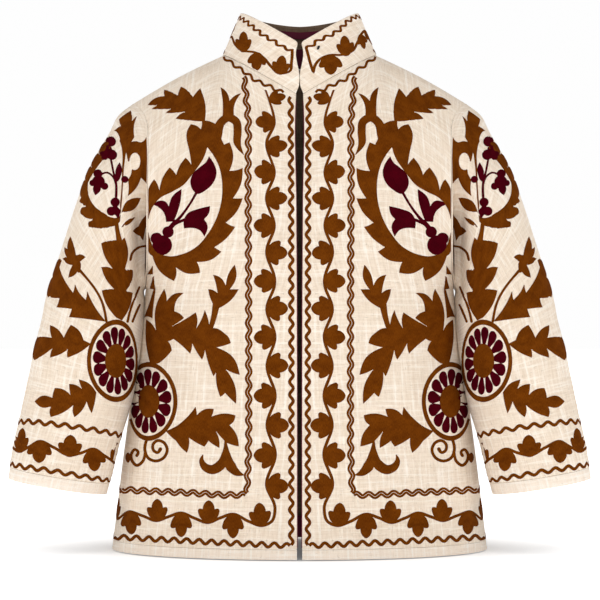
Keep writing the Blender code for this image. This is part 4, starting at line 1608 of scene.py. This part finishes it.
def sew_sleeve_leaves(work):
    column = leaf(
        (118, 240, 0), (121, 242, 0.04), (124.6, 236.8, 0.10), (125.2, 268.6, 0.04),
        (132.8, 269.8, 0.10), (126.4, 291, 0), (133, 292.2, 0.08), (122, 320.6, 0), (116, 317.6, 0.08),
        (101.6, 290.4, 0.05), (113.8, 289, 0.08), (101.1, 266.8, 0.07), (112.2, 268.2, 0.08),
        (101.1, 243, 0.07),
    )
    flower_head = [
        blade((76, 267), (70.4, 236.0), 8, 0.06),
        blade((74, 262), (64.6, 246.6), 6, 0.05),
        blade((79, 262), (62.2, 257.8), 8, 0.06, 0.9),
        blade((75, 264), (86.0, 257.4), 7.5, 0.24, 0.9),
        blade((77, 261), (68.2, 278.2), 7.5, 0.08),
        stroke([(79, 271), (77.2, 265), (75, 258)], [4, 8, 7], 1.6),
    ]
    stalks = [
        stroke(
            [(77.5, 268), (86, 277.4), (95, 289), (101.6, 301), (106.4, 321.6)],
            [3.4, 2.6, 2.6, 2.6, 2.8],
            1.8,
        ),
        stroke([(127.6, 321.6), (130.6, 309), (135.2, 297), (139.4, 287)], [2.8, 2.6, 2.6, 2.2], 1.8),
        stroke([(132.6, 321.6), (136, 313), (139.6, 305)], [2.6, 2.8, 2.4], 1.8),
    ]
    upper = leaf(
        (106.4, 322, 0.05), (86.4, 289, 0.07), (85.6, 299.6, 0.08), (74.6, 282.2, 0.06),
        (73, 292.4, 0.07), (57.6, 259, 0.02), (51.2, 284, 0.02), (48.4, 297.8, 0.02),
        (59.2, 298.8, 0.04), (56.2, 307.6, 0.02), (71.6, 309.2, 0.04), (68.6, 317.2, 0.01),
    )
    middle = leaf(
        (91.2, 343.8, 0.06), (67.4, 357.8, 0.08), (67.6, 350, 0.05), (50, 357.8, 0.06),
        (52, 348.8, 0.02), (34.8, 360.4, 0.05), (38.2, 336.2, 0.02), (51.6, 337.6, 0.06),
        (49.9, 324.6, 0.11), (63.8, 337.4, 0.03), (70.8, 324.6, 0.13), (83.6, 340, 0),
    )
    lower = leaf(
        (78.6, 379.2, 0.13), (96.4, 392.4, 0.03), (91.8, 413.6, 0.04), (86.6, 402, 0.09),
        (74.4, 417.4, 0.10), (73, 405.6, 0.07), (50.6, 417.2, 0.12), (50.6, 407, 0.20),
        (34.4, 401.4, 0.22), (52.2, 397.6, 0.04), (54.8, 387.8, 0.12), (70.2, 394.4, 0.03),
        (69, 383.8, 0.10), (81.6, 388.4, 0.03),
    )
    work.sew([column])
    work.sew([*flower_head, *stalks, upper])
    work.sew([middle])
    work.sew([lower])


CUFF_WAVES = (
    ((14.5, 421.0), (24, 421.6), (44, 423), (69, 426), (95, 430), (120, 435.2)),
    ((9.5, 464.6), (20, 466.4), (44.6, 469.8), (79, 475.6), (110, 481)),
)
CUFF_VINE = (
    (14.5, 449), (19.6, 451.4), (29.4, 446.6), (39.5, 441.4), (54, 447.6), (68.9, 455.2), (81, 453),
    (93, 449), (104, 455.4), (114, 463),
)
CUFF_FLOWERS = (
    # x, y, right, down, half width and length in picture units
    (20.2, 452.0, 0.10, -1, 7.2, 1.7),
    (39.8, 441.4, -0.04, 1, 12.2, 0.90),
    (69.4, 456.2, 0.06, -1, 11.8, 0.92),
    (93.8, 449.4, 0.04, 1, 11.4, 0.98),
    (113.8, 463.6, 0.30, -1, 6.4, 1.7),
)


def sew_cuff(work):
    """Two waves and a vine between them, over the half of the sleeve that shows from one side."""
    routes = [work.laid(route) for route in (*CUFF_WAVES, CUFF_VINE)]
    for route in routes[:2]:
        work.wave(route, *CUFF_WAVE)
    work.line(curve(routes[2], False, 1.8), STEM_WIDE)
    sew_flowers(work, CUFF_FLOWERS)
    return routes


def to_seam(canvas, route):
    """From the end of a route round the sleeve to the seam beside the body."""
    u, v = route[-1]
    row = canvas.blended(np.array([v]))[2][0]
    return [(x, v) for x in np.linspace(u, row[-1] if u > 0 else row[0], 4)]


def close_cuffs(work, ahead, behind):
    """The cuff's waves and vine, carried round its outer side and on to the seam."""
    for k, (front, back) in enumerate(zip(ahead, behind)):
        outer = [front[0], (front[0] + back[0]) / 2, back[0]]
        for route in (outer, to_seam(work.canvas, front), to_seam(work.canvas, back)):
            if k < 2:
                work.wave(route, *CUFF_WAVE)
            else:
                work.line(curve(route, False, 1.8), STEM_WIDE)


# Edges of the sleeve's motifs that turn round its outer side: their ends as seen, and their teeth.
TURNED_EDGES = (
    # x, y, x, y, teeth
    (101, 141, 82, 199, 4),
    (57.6, 259.0, 48.4, 297.8, 2),
    (38.2, 336.2, 34.8, 360.4, 1),
)


def sew_round_side(work):
    """The toothed parts of the motifs between their edges as seen and the sleeve's outer line."""
    for x0, y0, x1, y1, teeth in TURNED_EDGES:
        top, low = work.laid([(x0, y0), (x1, y1)])
        bow = 0.10 * np.sign(top[0])
        rows = [(*top, bow)]
        for k in range(teeth):
            tip = top + (low - top) * (k + 0.55) / teeth
            notch = top + (low - top) * (k + 1) / teeth
            rows.append((tip[0] * 0.08, tip[1], bow))
            if k < teeth - 1:
                rows.append((notch[0] * 0.60, notch[1], bow))
        rows.append((*low, 0.0))
        work.fill([leaf(*rows)])


def sew_sleeve(work):
    routes = []
    for from_y in (CAMERA_Y, -CAMERA_Y):
        work.canvas.from_y = from_y
        sew_egg(work)
        sew_valley(work)
        sew_sleeve_leaves(work)
        sew_rosette(work, **SLEEVE_ROSETTE)
        sew_round_side(work)
        routes.append(sew_cuff(work))
    close_cuffs(work, *routes)


COLLAR_TOP_WAVE = (
    ((291.2, 49.8), (284.6, 47.8), (274.3, 41.5), (264, 35.7), (255.9, 29.4), (241.6, 18.6)),
    ((306.4, 49.0), (312.2, 44.8), (320.2, 39.6), (329.4, 35.6), (338.6, 30.4), (346.6, 22.4), (355.4, 17)),
)
COLLAR_VINE = (
    (
        (292.2, 49), (291.5, 62), (288.8, 71.8), (280.4, 73.6), (271.4, 66.8), (263.8, 58), (256, 52.8),
        (242.4, 50.6), (235.6, 45), (231.6, 36.8),
    ),
    (
        (306.4, 48.6), (310, 62), (313.4, 72.6, 1), (314.4, 67), (320.8, 58.6), (329, 55.2),
        (342, 54.8), (352.7, 50.6), (357.1, 43), (361, 34.6),
    ),
)
COLLAR_FLOWERS = (
    # x, y, right, down, half width and length in picture units
    (243.2, 51.6, 0.02, -1, 8.0, 1.28),
    (257.8, 53.0, -0.12, 1, 9.2, 1.0),
    (279.6, 74.0, 0.16, -1, 9.0, 1.06),
    (346.4, 55.4, -0.12, -1, 8.8, 1.15),
    (330.4, 55.6, 0.02, 1, 11.6, 0.84),
    (360.2, 34.6, 0.30, 1, 4.9, 1.56),
)
COLLAR_BACK_FLOWERS = 8


def sew_collar(work):
    c = work.canvas
    tall = c.v[-1]
    sides = [c.seen(list(side)) for side in COLLAR_TOP_WAVE]
    behind = np.linspace(sides[0][-1][0], sides[1][-1][0], 9)[1:-1]
    top = [(u, tall - 7.0) for u in behind]
    work.wave([*sides[0], *top, *sides[1][::-1]], *COLLAR_WAVE, strands=COLLAR_STRANDS)
    low = [(u, 5.0) for u in np.linspace(sides[0][-1][0] + 12, sides[1][-1][0] - 12, 7)]
    work.wave(low, *COLLAR_WAVE, strands=COLLAR_STRANDS)
    left, right = (c.seen(list(side)) for side in COLLAR_VINE)
    start, end = left[-1][0], right[-1][0]
    step = (start - end) / COLLAR_BACK_FLOWERS
    middle, swing = tall * 0.5, 5.0
    behind = [
        (start - step * (k + 0.5), middle + swing * (1 if k % 2 else -1))
        for k in range(COLLAR_BACK_FLOWERS)
    ]
    work.line(curve([*left, *behind, *right[::-1]], False, 1.8), STEM_WIDE * 0.85)
    sew_flowers(work, COLLAR_FLOWERS)
    for k, (u, v) in enumerate(behind):
        work.fill([np.array([u, v]) + flower((0, -1 if k % 2 else 1), 11.4, 0.95)])


linen = linen_material(
    "linen", srgb(246, 230, 211), srgb(224, 203, 179), srgb(180, 163, 145), srgb(255, 246, 234)
)
band_linen = linen_material(
    "band_linen", srgb(252, 238, 222), srgb(238, 220, 200), srgb(208, 194, 178), srgb(255, 249, 240)
)
# Linen for the inner faces of every shell, in darker colours: painted shade for the dark inside of the
# jacket, not the cloth's own colour.
linen_inside_painted_shade = linen_material(
    "linen_inside_painted_shade", srgb(132, 108, 86), srgb(106, 84, 64), srgb(80, 62, 48), srgb(150, 126, 102)
)
brown = thread_material("brown_thread", srgb(115, 59, 8), srgb(84, 38, 3))
maroon_thread = thread_material("maroon_thread", srgb(76, 1, 15), srgb(54, 0, 8))
maroon = lining_material("maroon_lining", srgb(122, 34, 62), srgb(84, 18, 42))

body, body_shells = build_body()
hem_shells = build_hem_bands()
sleeve_outer, sleeve_shells = build_sleeves()
collar_outer, collar_shells = build_collar()


def sew_pair(name, canvas, sew):
    """What one side carries, and the same turned over on the other."""
    work = Stitching(canvas)
    sew(work)
    sides = (("right", False), ("left", True))
    return {side: work.mesh(f"thread_{name}_{side}", flip) for side, flip in sides}


front_threads = sew_pair("front", half_canvas(body[-1][0], -1), lambda work: sew_panel(work, FRONT_TOPS))
back_threads = sew_pair("back", half_canvas(body[1][0], 1), lambda work: sew_panel(work, BACK_TOPS))
sleeve_threads = sew_pair("sleeve", sleeve_canvas(sleeve_outer), sew_sleeve)
collar_work = Stitching(collar_canvas(collar_outer))
sew_collar(collar_work)
collar_thread = collar_work.mesh("thread_collar")

# The maroon strips inside, each with the width that it is cut to.
LINING_WIDTHS = (
    ("facing_left", 0.029),
    ("facing_right", 0.029),
    ("hem_facing_back", 0.0285),
    ("collar_lining", 0.0245),
    ("neck_tape", 0.009),
)


def line_with(node):
    """A strip of lining on its solid's form, with softened edges."""
    data = bpy.data.objects[node].data.copy()
    data.materials.clear()
    data.materials.append(maroon)
    strip = add_object("cloth_" + node, data)
    soften(strip, LINING_EDGE)
    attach(strip, "root")
    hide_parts(node)


for node, width in LINING_WIDTHS:
    line_with(node)
stud = bpy.data.objects["press_stud"].data
stud.materials.clear()
stud.materials.append(stud_material())


# Light, floor and camera

LIGHTS = (
    # name, place, width and height, watts
    ("side_left", (-2.7, -1.7, 1.2), (0.9, 1.4), 26),
    ("side_right", (2.7, -1.7, 1.1), (0.9, 1.4), 23),
    ("top", (0, -0.9, 2.0), (1.6, 0.9), 13),
)
LIT_PLACE = (0, 0, -0.3)


def area_light(name, place, size, power):
    data = bpy.data.lights.new(name, "AREA")
    data.shape = "RECTANGLE"
    data.size, data.size_y = size
    data.energy = power
    obj = add_object(name, data)
    obj.location = place
    way = Vector(LIT_PLACE) - Vector(place)
    obj.rotation_euler = way.to_track_quat("-Z", "Y").to_euler()


# Floor glow by distance from the jacket: low near it as a painted shadow, full white further off.
FLOOR_GLOW_WITH_PAINTED_SHADOW = ((0.60, 0.10), (0.90, 0.20), (1.10, 0.40), (1.50, 0.72), (2.20, 1.0))
FLOOR_REACH = 2.5
FLOOR_HALF = 12.0
FLOOR_DROP = 0.0015


def floor_material():
    """White, glowing less near the jacket, which paints its shadow on the floor, and more away from it; the
    jacket's half width and half depth are the units.
    """
    n = Nodes("floor_white")
    n.shader.inputs["Base Color"].default_value = (0.9, 0.9, 0.9, 1)
    n.shader.inputs["Roughness"].default_value = 1.0
    n.shader.inputs["Emission Color"].default_value = (1, 1, 1, 1)
    mapping = n.add("ShaderNodeMapping")
    n.join(n.add("ShaderNodeTexCoord").outputs["Object"], mapping.inputs["Vector"])
    mapping.inputs["Scale"].default_value = (1 / GIRTH[0][1], 1 / GIRTH[0][2], 0)
    reach = n.add("ShaderNodeVectorMath", operation="LENGTH")
    n.join(mapping.outputs[0], reach.inputs[0])
    share = n.math("DIVIDE", reach.outputs["Value"], FLOOR_REACH)
    glow_with_painted_shadow = n.ramp(share, *((at / FLOOR_REACH, level) for at, level in FLOOR_GLOW_WITH_PAINTED_SHADOW))
    n.join(glow_with_painted_shadow, n.shader.inputs["Emission Strength"])
    return n.material


def build_studio():
    world = bpy.data.worlds.new("studio")
    bpy.context.scene.world = world
    world.use_nodes = True
    tree = world.node_tree
    ambient = tree.nodes["Background"]
    ambient.inputs["Color"].default_value = (1, 1, 1, 1)
    ambient.inputs["Strength"].default_value = 0.30
    white = tree.nodes.new("ShaderNodeBackground")
    white.inputs["Strength"].default_value = 1.0
    white.inputs["Color"].default_value = (0.99, 0.99, 0.99, 1)
    rays = tree.nodes.new("ShaderNodeLightPath")
    mix = tree.nodes.new("ShaderNodeMixShader")
    tree.links.new(rays.outputs["Is Camera Ray"], mix.inputs[0])
    tree.links.new(ambient.outputs[0], mix.inputs[1])
    tree.links.new(white.outputs[0], mix.inputs[2])
    tree.links.new(mix.outputs[0], tree.nodes["World Output"].inputs["Surface"])
    for light in LIGHTS:
        area_light(*light)
    mesh = bpy.data.meshes.new("floor")
    square = ((-1, -1), (1, -1), (1, 1), (-1, 1))
    corners = [(x * FLOOR_HALF, y * FLOOR_HALF, HEM_Z - FLOOR_DROP) for x, y in square]
    mesh.from_pydata(corners, [], [(0, 1, 2, 3)])
    mesh.materials.append(floor_material())
    floor = add_object("floor", mesh)


SENSOR_MM = 36


def build_camera():
    data = bpy.data.cameras.new("camera")
    data.sensor_width = SENSOR_MM
    data.lens = SENSOR_MM * -CAMERA_Y / (PICTURE_PX * PIXEL)
    data.shift_x = (PICTURE_PX / 2 - CENTRE_PX) / PICTURE_PX
    data.clip_end = 50
    camera = add_object("camera", data)
    camera.location = (0, CAMERA_Y, CAMERA_Z)
    camera.rotation_euler = (math.pi / 2, 0, 0)
    bpy.context.scene.camera = camera


build_studio()
build_camera()
bpy.context.scene.view_settings.view_transform = "Standard"
